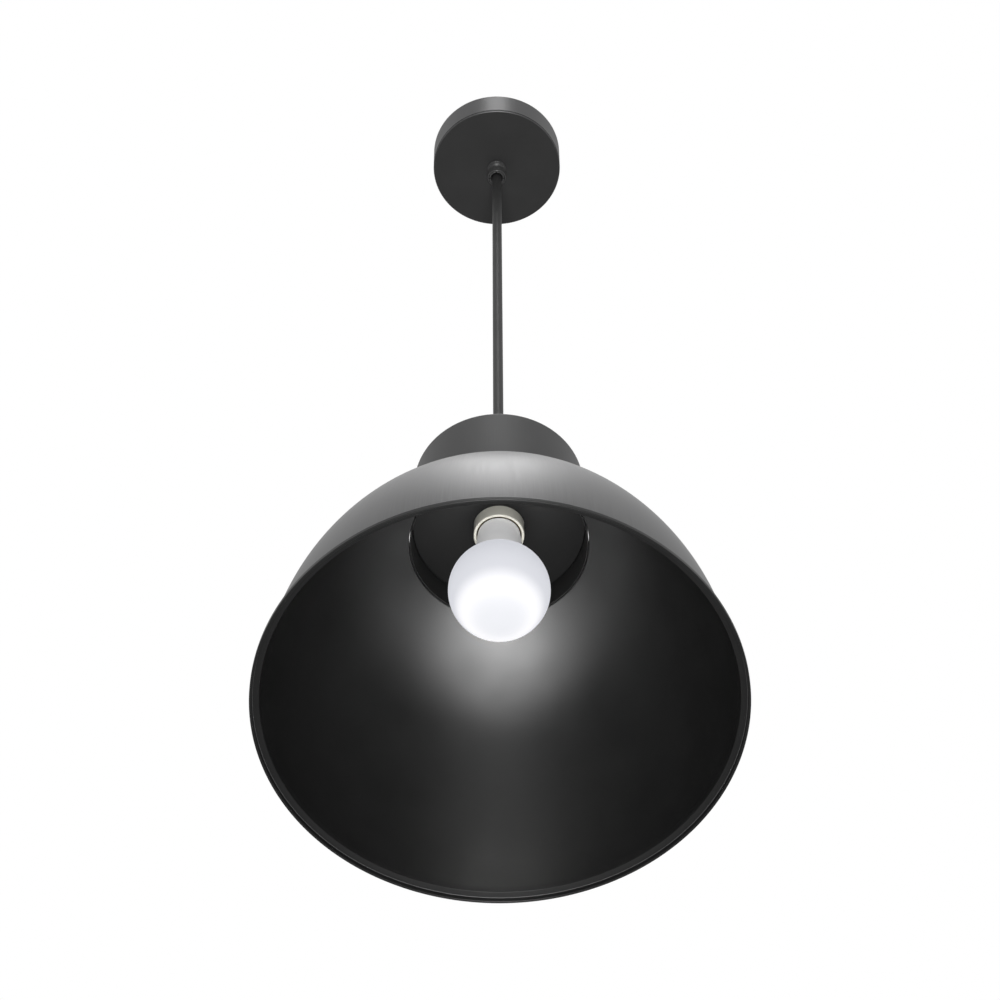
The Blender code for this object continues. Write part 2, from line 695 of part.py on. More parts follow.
def can_washer_and_nut():
    """The toothed washer under the can's top has a tab for the earth core."""
    under = CAN_Z - CAN_WALL - GAP
    half = TAB_HALF
    turn = math.asin(half / WASHER_RADIUS)
    span = [-math.pi / 2 + turn + (2 * math.pi - 2 * turn) * k / 20 for k in range(21)]
    outline = [(WASHER_RADIUS * math.cos(a), WASHER_RADIUS * math.sin(a)) for a in span]
    outline += [(-half, -TAB_REACH), (half, -TAB_REACH)]
    flat_piece("can_earth_washer", [outline, circle(STEM_HOLE, PLAIN)], WASHER_WALL, ZINC, HEAD,
               (0, 0, under - WASHER_WALL / 2))
    hex_nut("can_grip_nut", under - WASHER_WALL - GAP - NUT_HEIGHT / 2, ZINC, HEAD)


def inner_plate():
    """A disc round the lampholder, with an upturned flange beside the can's wall."""
    edge = PLATE_WALL
    top = PLATE_Z + PLATE_FLANGE
    outer = [(can_inner(top) - GAP, top), (can_inner(PLATE_Z + edge) - GAP, PLATE_Z + edge)]
    outer += [(can_inner(PLATE_Z) - GAP - edge, PLATE_Z), (HOLDER_RADIUS + GAP, PLATE_Z)]
    turned("inner_plate", outer + inset(outer, PLATE_WALL)[::-1], SATIN_BLACK, HEAD, sides=ROUND)


def plate_posts():
    low, high = PLATE_Z + PLATE_WALL + GAP, CAN_Z - CAN_WALL - GAP
    length = high - low
    depth = POST_THREAD
    for number, degrees in enumerate(SCREW_SIDES, 1):
        at = round_place(POST_CIRCLE, degrees, low)
        profile = [(0, length - depth - GAP), (SCREW_HOLE, length - depth - GAP), (SCREW_HOLE, length),
                   (POST_RADIUS, length), (POST_RADIUS, 0), (0, 0)]
        turned(f"plate_post_{number}", profile, ZINC, HEAD, at, sides=SMALL, ring=False)
        machine_screw(f"post_screw_{number}", (at[0], at[1], CAN_Z + GAP), (0, 0, 1), SCREW_RADIUS,
                      depth, 2 * SCREW_RADIUS, SCREW_RADIUS, ZINC, HEAD)


def shade_dome():
    """Spun dome. Its rim flares out and is hemmed, and a collar stands up round its neck."""
    collar = CAN_FOOT_RADIUS + GAP + SHADE_WALL
    skin = [(collar, COLLAR_Z + COLLAR_HEIGHT), *dome_outer()]
    wall = skin[-1][0]
    out, lip, low = SHADE_RADIUS, RIM_LIP, RIM_Z
    rim = [
        (wall + RIM_REACH * FLARE_SHARE, low + RIM_BAND + FLARE_RISE),
        (out - RIM_CORNER, low + RIM_BAND + RIM_CORNER / 2),
        (out, low + RIM_BAND - RIM_CORNER / 2),
        (out, low + RIM_CORNER),
        (out - RIM_CORNER, low),
        (out - lip + RIM_CORNER, low),
        (out - lip, low + RIM_CORNER),
        (out - BEND_IN, low + BEND_RISE),
    ]
    inner = inset(skin, SHADE_WALL)[::-1]
    dome = turned("shade_dome", skin + rim + inner, CHARCOAL, HEAD, sides=FINE)
    for number, degrees in enumerate(SCREW_SIDES, 1):
        collar_hole(dome, f"collar_hole_{number}", degrees)
        machine_screw(f"collar_screw_{number}", round_place(collar + GAP, degrees, COLLAR_Z + SCREW_RISE),
                      round_place(1, degrees, 0), SCREW_RADIUS, COLLAR_SCREW, 1.8 * SCREW_RADIUS,
                      SCREW_RADIUS, ZINC, HEAD)


# Lampholder

def lampholder():
    """Skirt, cap, and the insert that carries the brass shell and the contact."""
    radius, wall = HOLDER_RADIUS, HOLDER_WALL
    low, middle, top = HOLDER_Z, HOLDER_Z + SKIRT_HEIGHT, CAN_Z - CAN_WALL - 3 * GAP - WASHER_WALL - NUT_HEIGHT
    edge = wall * 0.3
    skirt = [(radius - wall, middle), (radius, middle), (radius, low + edge), (radius - edge, low),
             (radius - wall + edge, low), (radius - wall, low + edge)]
    turned("holder_body", skirt, CREAM, HEAD)
    shoulder = middle + GAP
    rise = top - GAP - shoulder
    cap = [(STEM_HOLE, shoulder + rise)]
    cap += [(radius * across, shoulder + rise * up) for across, up in CAP_OUTLINE]
    cap = turned("holder_cap", cap + inset(cap, wall)[::-1], CREAM, HEAD)
    exit_z = middle + EARTH_HOLE_RISE
    bored(cap, "earth_way", CORE_RADIUS + 2 * GAP, (0, -radius * 0.75, exit_z), (0, -radius * 1.2, exit_z))

    shell_radius = CAP_ROOT + THREAD_DEPTH + THREAD_GAP + SHELL_WALL
    disc = [(0, INSERT_HEIGHT), (shell_radius, INSERT_HEIGHT), (shell_radius, 0), (0, 0)]
    insert = turned("holder_insert", disc, NATURAL, HEAD, (0, 0, INSERT_Z), ring=False)
    high = INSERT_Z + INSERT_HEIGHT
    deep = high - INSERT_HEIGHT * 0.8
    for number, side in ((1, -1), (2, 1)):
        x, y = side * CORE_HOLE_X, CORE_HOLE_Y
        bored(insert, f"core_hole_{number}", CORE_RADIUS + GAP, (x, y, deep), (x, y, high + GAP))
        bored(insert, f"clamp_way_{number}", CLAMP_RADIUS + GAP, (x, -y, deep), (x, -y, high + GAP))
        machine_screw(f"holder_screw_{number}", (x, -y, high + GAP), (0, 0, 1), CLAMP_RADIUS,
                      INSERT_HEIGHT * 0.7, 2 * CLAMP_RADIUS, CLAMP_HEAD, ZINC, HEAD)


def holder_contact():
    """A bent brass tongue between the insert and the bulb's tip."""
    half, wall = TONGUE_HALF, CONTACT_WALL
    tip = BULB_TIP_Z + GAP + wall / 2
    root = INSERT_Z - GAP - wall / 2
    path = list(zip(TONGUE_BENDS, (root, root, tip, tip)))
    corners = [(x, y, z) for x, z in path for y in (-half, half)]
    faces = [(k, k + 1, k + 3, k + 2) for k in (0, 2, 4)]
    mesh = bpy.data.meshes.new("holder_contact")
    mesh.from_pydata(corners, [], faces)
    tongue = add("holder_contact", mesh, BRASS, HEAD)
    solid = tongue.modifiers.new("sheet", "SOLIDIFY")
    solid.thickness = wall
    solid.offset = 0


def threaded(obj, base, height_range, wave):
    """Gives the lathe mesh a screw thread: points at the base radius move by the wave of their helix phase."""
    low, high = height_range
    fade_length = THREAD_PITCH / 2
    for vertex in applied(obj).data.vertices:
        x, y, z = vertex.co
        radius = math.hypot(x, y)
        if abs(radius - base) > 0.00002 or not low <= z <= high:
            continue
        fade = min(1.0, (z - low) / fade_length, (high - z) / fade_length)
        phase = 2 * math.pi * z / THREAD_PITCH - math.atan2(y, x)
        scale = (base + wave(phase) * fade) / radius
        vertex.co = (x * scale, y * scale, z)


def levels(low, high, step):
    count = max(1, math.ceil((high - low) / step))
    return [high - (high - low) * k / count for k in range(count + 1)]


def holder_thread():
    """The brass shell that the bulb screws into."""
    crest = CAP_ROOT + THREAD_DEPTH + THREAD_GAP
    low = HOLDER_Z + SHELL_SET_UP
    high = low + SHELL_HEIGHT
    thread_low, thread_high = (low + rise for rise in SHELL_THREAD)
    profile = [(crest, high), (crest + SHELL_WALL, high), (crest + SHELL_WALL, low), (crest, low)]
    profile += [(crest, z) for z in levels(thread_low, thread_high, THREAD_PITCH / 5)[::-1]]
    shell = turned("holder_thread", profile, BRASS, HEAD)
    threaded(shell, crest, (thread_low, thread_high),
             lambda phase: -THREAD_DEPTH * (0.5 - 0.5 * math.cos(phase)))


# Bulb

def bulb_parts():
    crest = CAP_ROOT + THREAD_DEPTH
    cap_low = HOLDER_Z + CAP_SET_UP
    cap_high = cap_low + CAP_LENGTH
    wall = CAP_WALL
    thread_low, thread_high = (cap_low + rise for rise in CAP_THREAD)
    levels_down = levels(thread_low, thread_high, THREAD_PITCH / 5)
    profile = [(CAP_ROOT - CAP_ROLL, cap_high), (CAP_ROOT, cap_high - CAP_CORNER)]
    profile += [(CAP_ROOT, z) for z in levels_down]
    profile += [(crest, cap_low + CAP_CORNER), (crest, cap_low), (CAP_ROOT - wall, cap_low),
                (CAP_ROOT - wall, cap_high - 2 * wall), (CAP_ROOT - CAP_ROLL, cap_high - CAP_CORNER)]
    cap = turned("bulb_cap", profile, NICKEL, BULB)
    threaded(cap, CAP_ROOT, (thread_low, thread_high),
             lambda phase: THREAD_DEPTH * (0.5 + 0.5 * math.cos(phase)))

    glass, glass_z = CAP_ROOT - CAP_ROLL - GAP, BULB_TIP_Z - TIP_DEPTH
    insulator = [(TIP_RADIUS, glass_z), (glass, cap_high + GLASS_EDGE), (glass, cap_high + GAP),
                 (0, cap_high + GAP)]
    turned("bulb_insulator", [(0, glass_z), *insulator], DARK_GLASS, BULB, ring=False)
    tip = [(0, BULB_TIP_Z), (TIP_RADIUS * 0.6, BULB_TIP_Z), (TIP_RADIUS, BULB_TIP_Z - GLASS_EDGE),
           (TIP_RADIUS, glass_z + GAP), (0, glass_z + GAP)]
    turned("bulb_contact", tip, ZINC, SEAT, ring=False)

    neck_high, neck_low = cap_low - GAP, cap_low - GAP - NECK_LENGTH
    spigot = CAP_ROOT - wall - GAP
    end = neck_high + SPIGOT_LENGTH
    neck = [(spigot - SPIGOT_WALL, end), (spigot, end), (spigot, neck_high), (NECK_TOP_RADIUS, neck_high),
            (NECK_RADIUS, neck_low), (NECK_RADIUS - NECK_WALL, neck_low),
            (spigot - SPIGOT_WALL, neck_high - NECK_WALL)]
    turned("bulb_neck", neck, LIGHT_GREY, BULB)
    board = NECK_RADIUS - 1.5 * NECK_WALL
    turned("bulb_led_board", [(0, BOARD_WALL), (board, BOARD_WALL), (board, 0), (0, 0)],
           NATURAL, BULB, (0, 0, neck_low + NECK_WALL), ring=False)

    top = neck_low - GAP
    centre = top - SHOULDER - math.sqrt(BULB_RADIUS ** 2 - NECK_RADIUS ** 2)
    lean = math.asin(NECK_RADIUS / BULB_RADIUS) + SHOULDER_LEAN
    join = (BULB_RADIUS * math.sin(lean), centre + BULB_RADIUS * math.cos(lean))
    bend = (NECK_RADIUS, join[1] + (join[0] - NECK_RADIUS) * math.tan(lean))
    shoulder = bezier((NECK_RADIUS, top), between((NECK_RADIUS, top), bend, 2 / 3),
                      between(join, bend, 2 / 3), join, 3)
    globe = arc((0, centre), BULB_RADIUS, math.pi / 2 - lean, -math.pi / 2, 10)
    outer = [(NECK_RADIUS, top), *shoulder, *globe[1:-1], (0, centre - BULB_RADIUS)]
    inner = inset(outer, BULB_WALL)
    inner[-1] = (0, centre - BULB_RADIUS + BULB_WALL)
    turned("bulb_globe", inner[::-1] + outer, OPAL, BULB, sides=GLOBE, ring=False)


def between(a, b, share):
    return tuple(p + (q - p) * share for p, q in zip(a, b))


clear_scene()
LAMP = new_collection("pendant_light")
CUTTERS = new_collection("cutters")

CHARCOAL = finish("charcoal_metal", (0.16, 0.16, 0.165), 0.42, 0.8)
SATIN_BLACK = finish("satin_black", (0.02, 0.02, 0.02), 0.45)
CORD_BLACK = finish("cord_black", (0.035, 0.035, 0.037), 0.7)
GRIP_BLACK = finish("grip_black", (0.04, 0.04, 0.042), 0.4)
STEEL = finish("bracket_steel", (0.6, 0.6, 0.6), 0.4, 1.0)
ZINC = finish("zinc_plate", (0.7, 0.7, 0.68), 0.35, 1.0)
BRASS = finish("brass", (0.75, 0.58, 0.28), 0.3, 1.0)
NICKEL = finish("cap_nickel", (0.72, 0.70, 0.66), 0.25, 1.0)
NATURAL = finish("natural_plastic", (0.85, 0.85, 0.8), 0.5)
CREAM = finish("cream_plastic", (0.62, 0.59, 0.52), 0.35)
LIGHT_GREY = finish("light_grey_plastic", (0.65, 0.65, 0.65), 0.4)
OPAL = finish("opal", (0.95, 0.95, 0.97), 0.3)
DARK_GLASS = finish("cap_glass", (0.03, 0.02, 0.04), 0.15)
CORES = [
    finish("core_brown", (0.18, 0.08, 0.03), 0.5),
    finish("core_blue", (0.05, 0.15, 0.45), 0.5),
    finish("core_earth", (0.3, 0.5, 0.05), 0.5),
]

SWING = pivot("swing_pivot", SWING_Z)
CORD = pivot("bend_pivot", BEND_Z, SWING)
HEAD = pivot("head_frame", CAN_Z, CORD)
SEAT = pivot("seat_frame", HOLDER_Z, HEAD)
BULB = pivot("bulb_frame", HOLDER_Z, SEAT)

ceiling_bracket()
canopy_cup()
canopy_set_screws()
terminal_block()
cord_grip("canopy", GRIP_Z, CUP_Z, CANOPY_STEM, GRIP_BLACK, None)
canopy_washer_and_nut()
cord_top_end()
cord_bend()
suspension_cord()
cord_grip("can", CAN_GRIP_Z, CAN_Z, CAN_STEM, GRIP_BLACK, HEAD)
can_washer_and_nut()
cord_bottom_end()
neck_can()
inner_plate()
plate_posts()
shade_dome()
lampholder()
holder_contact()
holder_thread()
bulb_parts()
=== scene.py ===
import json
import math

import bmesh
import bpy
import numpy as np
from mathutils import Matrix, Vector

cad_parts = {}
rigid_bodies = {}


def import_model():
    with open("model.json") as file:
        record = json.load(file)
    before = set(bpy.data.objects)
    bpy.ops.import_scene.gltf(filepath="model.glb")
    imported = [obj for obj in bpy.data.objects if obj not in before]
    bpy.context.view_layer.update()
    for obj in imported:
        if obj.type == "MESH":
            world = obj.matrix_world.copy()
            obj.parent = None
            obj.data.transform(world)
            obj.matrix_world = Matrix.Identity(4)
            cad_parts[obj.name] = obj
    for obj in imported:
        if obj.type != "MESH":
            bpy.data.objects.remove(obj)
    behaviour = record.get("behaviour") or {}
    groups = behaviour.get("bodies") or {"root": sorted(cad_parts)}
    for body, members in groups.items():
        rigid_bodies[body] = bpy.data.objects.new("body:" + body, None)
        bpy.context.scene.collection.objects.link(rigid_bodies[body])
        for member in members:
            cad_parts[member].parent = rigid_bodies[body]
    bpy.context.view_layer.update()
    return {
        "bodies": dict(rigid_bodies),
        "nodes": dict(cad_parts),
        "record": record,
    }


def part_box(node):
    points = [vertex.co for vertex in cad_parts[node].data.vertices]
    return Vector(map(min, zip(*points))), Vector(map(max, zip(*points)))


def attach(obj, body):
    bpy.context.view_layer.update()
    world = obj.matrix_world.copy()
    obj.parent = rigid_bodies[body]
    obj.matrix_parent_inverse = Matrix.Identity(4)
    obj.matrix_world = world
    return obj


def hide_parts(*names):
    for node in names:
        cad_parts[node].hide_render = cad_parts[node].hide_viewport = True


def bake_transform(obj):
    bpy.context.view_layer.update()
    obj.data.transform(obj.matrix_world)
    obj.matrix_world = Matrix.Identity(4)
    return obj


# Pendant ceiling light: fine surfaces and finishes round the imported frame.
# Metres, +Z up, the ceiling at z = 0, the front of the lamp towards -Y.

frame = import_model()
print("frame loaded:", len(frame["nodes"]), "nodes")


# Levels read from the frame

def low(node):
    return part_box(node)[0]


def high(node):
    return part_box(node)[1]


rimZ = low("shade_dome").z
collarTopZ = high("shade_dome").z
canTopZ = high("neck_can").z
cupZ = low("canopy_cup").z


# Mesh making

def roundedPath(corners, closed=False, steps=6):
    # A line through corners (radius, height, rounding). A rounding is the arc that touches both sides of its
    # corner, with one more point a little before and after it, so that flat stretches shade flat.
    found = []
    count = len(corners)
    for k, (r, z, rounding) in enumerate(corners):
        here = np.array((r, z), float)
        if not rounding or (not closed and k in (0, count - 1)):
            found.append(here[None])
            continue
        before = np.array(corners[k - 1][:2]) - here
        after = np.array(corners[(k + 1) % count][:2]) - here
        before /= np.linalg.norm(before)
        after /= np.linalg.norm(after)
        half = math.acos(np.clip(before @ after, -1, 1)) / 2
        centre = here + (before + after) / np.linalg.norm(before + after) * rounding / math.sin(half)
        start = here + before * rounding / math.tan(half) - centre
        end = here + after * rounding / math.tan(half) - centre
        turn = math.atan2(start[0] * end[1] - start[1] * end[0], start @ end)
        angles = math.atan2(start[1], start[0]) + turn * np.linspace(0, 1, steps + 1)
        bend = centre + rounding * np.stack([np.cos(angles), np.sin(angles)], 1)
        margin = rounding * 0.3
        found += [(start + centre + before * margin)[None], bend, (end + centre + after * margin)[None]]
    return np.concatenate(found)


def arcPath(centre, radius, start, end, count):
    # points at equal angles (radians) round a centre (radius, height)
    angles = np.linspace(start, end, count + 1)
    return np.array(centre) + radius * np.stack([np.cos(angles), np.sin(angles)], 1)


def bezierPath(a, b, c, d, count):
    # the cubic curve a(1-t)^3 + 3bt(1-t)^2 + 3ct^2(1-t) + dt^3
    t = np.linspace(0, 1, count + 1)[:, None]
    a, b, c, d = (np.array(point, float) for point in (a, b, c, d))
    return a * (1 - t) ** 3 + 3 * b * t * (1 - t) ** 2 + 3 * c * t * t * (1 - t) + d * t ** 3


def insetPath(path, distance):
    # each point moved to the right of the path's own direction by the wall's thickness
    along = np.gradient(path, axis=0)
    along /= np.linalg.norm(along, axis=1)[:, None]
    return path + distance * np.stack([along[:, 1], -along[:, 0]], 1)


def newPiece(name, points, faces, sharpAngle=38):
    mesh = bpy.data.meshes.new(name)
    mesh.from_pydata(points.tolist(), [], faces)
    mesh.shade_smooth()
    mesh.set_sharp_from_angle(angle=math.radians(sharpAngle))
    piece = bpy.data.objects.new(name, mesh)
    bpy.context.scene.collection.objects.link(piece)
    return piece


def turnedPiece(name, profile, sides, ring=True, wave=None, sharpAngle=38):
    # Every profile point (r, z) is carried round the Z axis: x = r cos a, y = r sin a. The profile runs down the
    # outer side. wave(a, r, z) may give the radius at each angle, for ribs, sockets and threads. A point on the
    # axis is one pole that a fan of triangles meets.
    profile = np.asarray(profile, float)
    angles = np.arange(sides) * 2 * math.pi / sides
    radius = np.repeat(profile[:, :1], sides, axis=1)
    height = np.repeat(profile[:, 1:], sides, axis=1)
    onAxis = profile[:, 0] < 1e-7
    if wave is not None:
        radius = np.where(onAxis[:, None], 0, wave(angles[None, :], radius, height))
    points = np.stack([radius * np.cos(angles), radius * np.sin(angles), height], -1)
    keep = np.ones(radius.shape, bool)
    keep[onAxis, 1:] = False
    index = np.cumsum(keep.ravel()).reshape(keep.shape) - 1
    index[onAxis] = index[onAxis][:, :1]
    rows = len(profile) if ring else len(profile) - 1
    upper = index[:rows]
    lower = np.roll(index, -1, axis=0)[:rows]
    quads = np.stack([upper, lower, np.roll(lower, -1, 1), np.roll(upper, -1, 1)], -1)
    top, bottom = onAxis[:rows], np.roll(onAxis, -1)[:rows]
    faces = quads[~top & ~bottom].reshape(-1, 4).tolist()
    faces += quads[top & ~bottom][..., [0, 1, 2]].reshape(-1, 3).tolist()
    faces += quads[bottom & ~top][..., [0, 1, 3]].reshape(-1, 3).tolist()
    return newPiece(name, points[keep], faces, sharpAngle)


def sectorPiece(name, profile, gaps, gapAngle, count):
    # The closed profile is carried round the Z axis in as many equal stretches as there are gaps, and each
    # stretch is closed by the profile's own face at both ends.
    profile = np.asarray(profile, float)
    rows = len(profile)
    points, faces = [], []
    for k in range(gaps):
        start = 2 * math.pi * k / gaps + gapAngle / 2
        angles = np.linspace(start, start + 2 * math.pi / gaps - gapAngle, count + 1)
        first = k * rows * (count + 1)
        radius, height = profile[:, :1], np.repeat(profile[:, 1:], count + 1, axis=1)
        points.append(np.stack([radius * np.cos(angles), radius * np.sin(angles), height], -1).reshape(-1, 3))
        index = first + np.arange(rows * (count + 1)).reshape(rows, count + 1)
        below = np.roll(index, -1, axis=0)
        quads = np.stack([index[:, :-1], below[:, :-1], below[:, 1:], index[:, 1:]], -1)
        faces += quads.reshape(-1, 4).tolist() + [index[::-1, 0].tolist(), index[:, -1].tolist()]
    return newPiece(name, np.concatenate(points), faces)


def moved(piece, place, facing=(0, 0, 1)):
    # the piece's own +Z is turned to face a direction, and the place goes into its mesh
    up = np.array(facing, float) / np.linalg.norm(facing)
    side = np.cross((0, 1, 0) if abs(up[1]) < 0.9 else (1, 0, 0), up)
    side /= np.linalg.norm(side)
    turn = Matrix(np.stack([side, np.cross(up, side), up], 1).tolist()).to_4x4()
    piece.data.transform(Matrix.Translation(place) @ turn)
    return piece


def fitted(piece, look, body, nodes):
    # gives the piece its finish, the body it moves with and the frame's nodes that it stands for
    piece.data.materials.clear()
    for one in look if isinstance(look, (list, tuple)) else [look]:
        piece.data.materials.append(one)
    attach(piece, body)
    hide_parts(*nodes)
    return piece


def paintInside(piece, isInside):
    # the second finish goes on every face whose middle the test picks
    mesh = piece.data
    middles = np.empty(len(mesh.polygons) * 3)
    mesh.polygons.foreach_get("center", middles)
    middles = middles.reshape(-1, 3)
    picked = isInside(np.hypot(middles[:, 0], middles[:, 1]), middles[:, 2])
    mesh.polygons.foreach_set("material_index", picked.astype(np.int32))
    mesh.update()


# Finishes

def wire(tree, kind, inputs=(), **settings):
    # one node, with its settings and with a value or a link on each named input
    made = tree.nodes.new(kind)
    for key, value in settings.items():
        setattr(made, key, value)
    for key, value in dict(inputs).items():
        if isinstance(value, bpy.types.NodeSocket):
            tree.links.new(value, made.inputs[key])
        else:
            made.inputs[key].default_value = value
    return made


def newFinish(name, settings):
    # a Principled surface with these plain values on its sockets
    material = bpy.data.materials.new(name)
    material.use_nodes = True
    shader = material.node_tree.nodes["Principled BSDF"]
    for key, value in settings.items():
        shader.inputs[key].default_value = (*value, 1) if isinstance(value, tuple) else value
    return material, material.node_tree, shader


def spread(tree, fac, lowColour, highColour, start=0.3, end=0.7):
    ramp = wire(tree, "ShaderNodeValToRGB", {"Fac": fac})
    ramp.color_ramp.elements[0].position = start
    ramp.color_ramp.elements[1].position = end
    ramp.color_ramp.elements[0].color = (*lowColour, 1)
    ramp.color_ramp.elements[1].color = (*highColour, 1)
    return ramp.outputs["Color"]


def remap(tree, value, lowValue, highValue, start=0.3, end=0.7):
    made = wire(tree, "ShaderNodeMapRange", {"Value": value, "From Min": start, "From Max": end,
                                             "To Min": lowValue, "To Max": highValue})
    return made.outputs["Result"]


def noiseOn(tree, vector, scale, detail=3.0, roughness=0.55):
    made = wire(tree, "ShaderNodeTexNoise", {"Vector": vector, "Scale": scale, "Detail": detail,
                                             "Roughness": roughness})
    return made.outputs["Fac"]


def objectPlace(tree, scale=(1, 1, 1)):
    coordinate = wire(tree, "ShaderNodeTexCoord").outputs["Object"]
    return wire(tree, "ShaderNodeMapping", {"Vector": coordinate, "Scale": scale}).outputs["Vector"]


def roundPlace(tree, around, along):
    # the direction from the axis times one scale and the height times another: lines run down the surface
    coordinate = wire(tree, "ShaderNodeTexCoord").outputs["Object"]
    parts = wire(tree, "ShaderNodeSeparateXYZ", {"Vector": coordinate}).outputs
    flat = wire(tree, "ShaderNodeCombineXYZ", {"X": parts["X"], "Y": parts["Y"]}).outputs["Vector"]
    unit = wire(tree, "ShaderNodeVectorMath", {0: flat}, operation="NORMALIZE").outputs["Vector"]
    wide = wire(tree, "ShaderNodeVectorMath", {0: unit, "Scale": around}, operation="SCALE").outputs["Vector"]
    lift = wire(tree, "ShaderNodeMath", {0: parts["Z"], 1: along}, operation="MULTIPLY").outputs["Value"]
    tall = wire(tree, "ShaderNodeCombineXYZ", {"Z": lift}).outputs["Vector"]
    return wire(tree, "ShaderNodeVectorMath", {0: wide, 1: tall}, operation="ADD").outputs["Vector"]


def bumped(tree, shader, height, distance, strength=1.0):
    bump = wire(tree, "ShaderNodeBump", {"Height": height, "Distance": distance, "Strength": strength})
    tree.links.new(bump.outputs["Normal"], shader.inputs["Normal"])


def brushedFinish(name, tone, roughness, metallic, lines, warmth=0.0, stretch=0.7):
    # Dark brushed metal: fine lines vary its tone and its gloss, larger soft patches vary it a little, and the
    # gloss spreads across the lines.
    material, tree, shader = newFinish(name, {"Metallic": metallic, "Specular IOR Level": 0.5,
                                              "Anisotropic": stretch,
                                              "Anisotropic Rotation": 0.0 if lines == "down" else 0.25})
    tangent = wire(tree, "ShaderNodeTangent", direction_type="RADIAL", axis="Z")
    tree.links.new(tangent.outputs["Tangent"], shader.inputs["Tangent"])
    place = roundPlace(tree, 34.0, 5.0) if lines == "down" else roundPlace(tree, 1.2, 5200.0)
    fine = noiseOn(tree, place, 4.0, 4.0, 0.65)
    patch = noiseOn(tree, objectPlace(tree), 14.0, 2.0)
    mix = wire(tree, "ShaderNodeMix", {"Factor": 0.25, "A": fine, "B": patch}, data_type="FLOAT")
    both = mix.outputs["Result"]
    dark = (tone * 0.80, tone * 0.80, tone * (0.81 - warmth))
    pale = (tone * 1.18, tone * 1.18, tone * (1.19 - warmth))
    tree.links.new(spread(tree, both, dark, pale), shader.inputs["Base Color"])
    tree.links.new(remap(tree, fine, roughness - 0.04, roughness + 0.05), shader.inputs["Roughness"])
    bumped(tree, shader, fine, 0.00002, 0.6)
    return material


def satinFinish(name, tone, roughness, grain=2400.0, height=0.00001, metallic=0.0, specular=0.5, glow=0.0,
                stretch=0.0):
    # Sprayed or moulded surface: a very fine even grain in bump and gloss, and a slight drift of tone. A glow above
    # zero is painted light.
    material, tree, shader = newFinish(name, {"Metallic": metallic, "Specular IOR Level": specular,
                                              "Emission Strength": glow, "Anisotropic": stretch,
                                              "Anisotropic Rotation": 0.25})
    if stretch:
        tangent = wire(tree, "ShaderNodeTangent", direction_type="RADIAL", axis="Z")
        tree.links.new(tangent.outputs["Tangent"], shader.inputs["Tangent"])
    tone = (tone,) * 3 if isinstance(tone, float) else tone
    fine = noiseOn(tree, objectPlace(tree), grain, 2.0)
    patch = noiseOn(tree, objectPlace(tree), 30.0, 3.0)
    dark, pale = (tuple(part * share for part in tone) for share in (0.9, 1.1))
    tree.links.new(spread(tree, patch, dark, pale), shader.inputs["Base Color"])
    tree.links.new(remap(tree, patch, roughness - 0.03, roughness + 0.03), shader.inputs["Roughness"])
    bumped(tree, shader, fine, height, 0.5)
    return material


def platedFinish(name, tone, roughness):
    # Plated or turned small metal parts: cloudy gloss and fine turning lines.
    material, tree, shader = newFinish(name, {"Metallic": 1.0})
    cloud = noiseOn(tree, objectPlace(tree), 260.0, 4.0)
    lines = noiseOn(tree, objectPlace(tree, (1, 1, 12)), 900.0, 2.0)
    dark, pale = (tuple(part * share for part in tone) for share in (0.82, 1.08))
    tree.links.new(spread(tree, cloud, dark, pale), shader.inputs["Base Color"])
    tree.links.new(remap(tree, cloud, roughness + 0.08, roughness - 0.06), shader.inputs["Roughness"])
    bumped(tree, shader, lines, 0.00001, 0.5)
    return material


# share of the globe's height from its bottom, and the glow there; the bright band and the dimmer pole and neck end are
# painted light and shade
opalGlowPaintedShade = ((0.0, (0.74, 0.75, 0.78)), (0.13, (0.90, 0.90, 0.92)), (0.29, (0.62, 0.63, 0.67)),
            (0.62, (0.56, 0.57, 0.61)), (1.0, (0.46, 0.47, 0.51)))


def opalFinish():
    # Lit opal plastic: the glow is strongest in a band a little above the bottom, weaker at the very bottom, and fades
    # towards the neck. This band and these fades are painted light and shade laid on the lamp's glow.
    material, tree, shader = newFinish("opalGlowPaintedShade", {
        "Base Color": (0.12, 0.12, 0.13), "Roughness": 0.7, "Emission Strength": 1.0,
        "Transmission Weight": 0.1})
    heightOf = wire(tree, "ShaderNodeSeparateXYZ", {"Vector": objectPlace(tree)}).outputs["Z"]
    bottom, top = low("bulb_globe").z, high("bulb_globe").z
    share = wire(tree, "ShaderNodeMapRange", {"Value": heightOf, "From Min": bottom, "From Max": top})
    ramp = wire(tree, "ShaderNodeValToRGB", {"Fac": share.outputs["Result"]})
    ramp.color_ramp.interpolation = "EASE"
    marks = ramp.color_ramp.elements
    for share, tone in opalGlowPaintedShade[1:-1]:
        marks.new(share)
    for mark, (share, tone) in zip(marks, opalGlowPaintedShade):
        mark.color = (*tone, 1)
    tree.links.new(ramp.outputs["Color"], shader.inputs["Emission Color"])
    return material


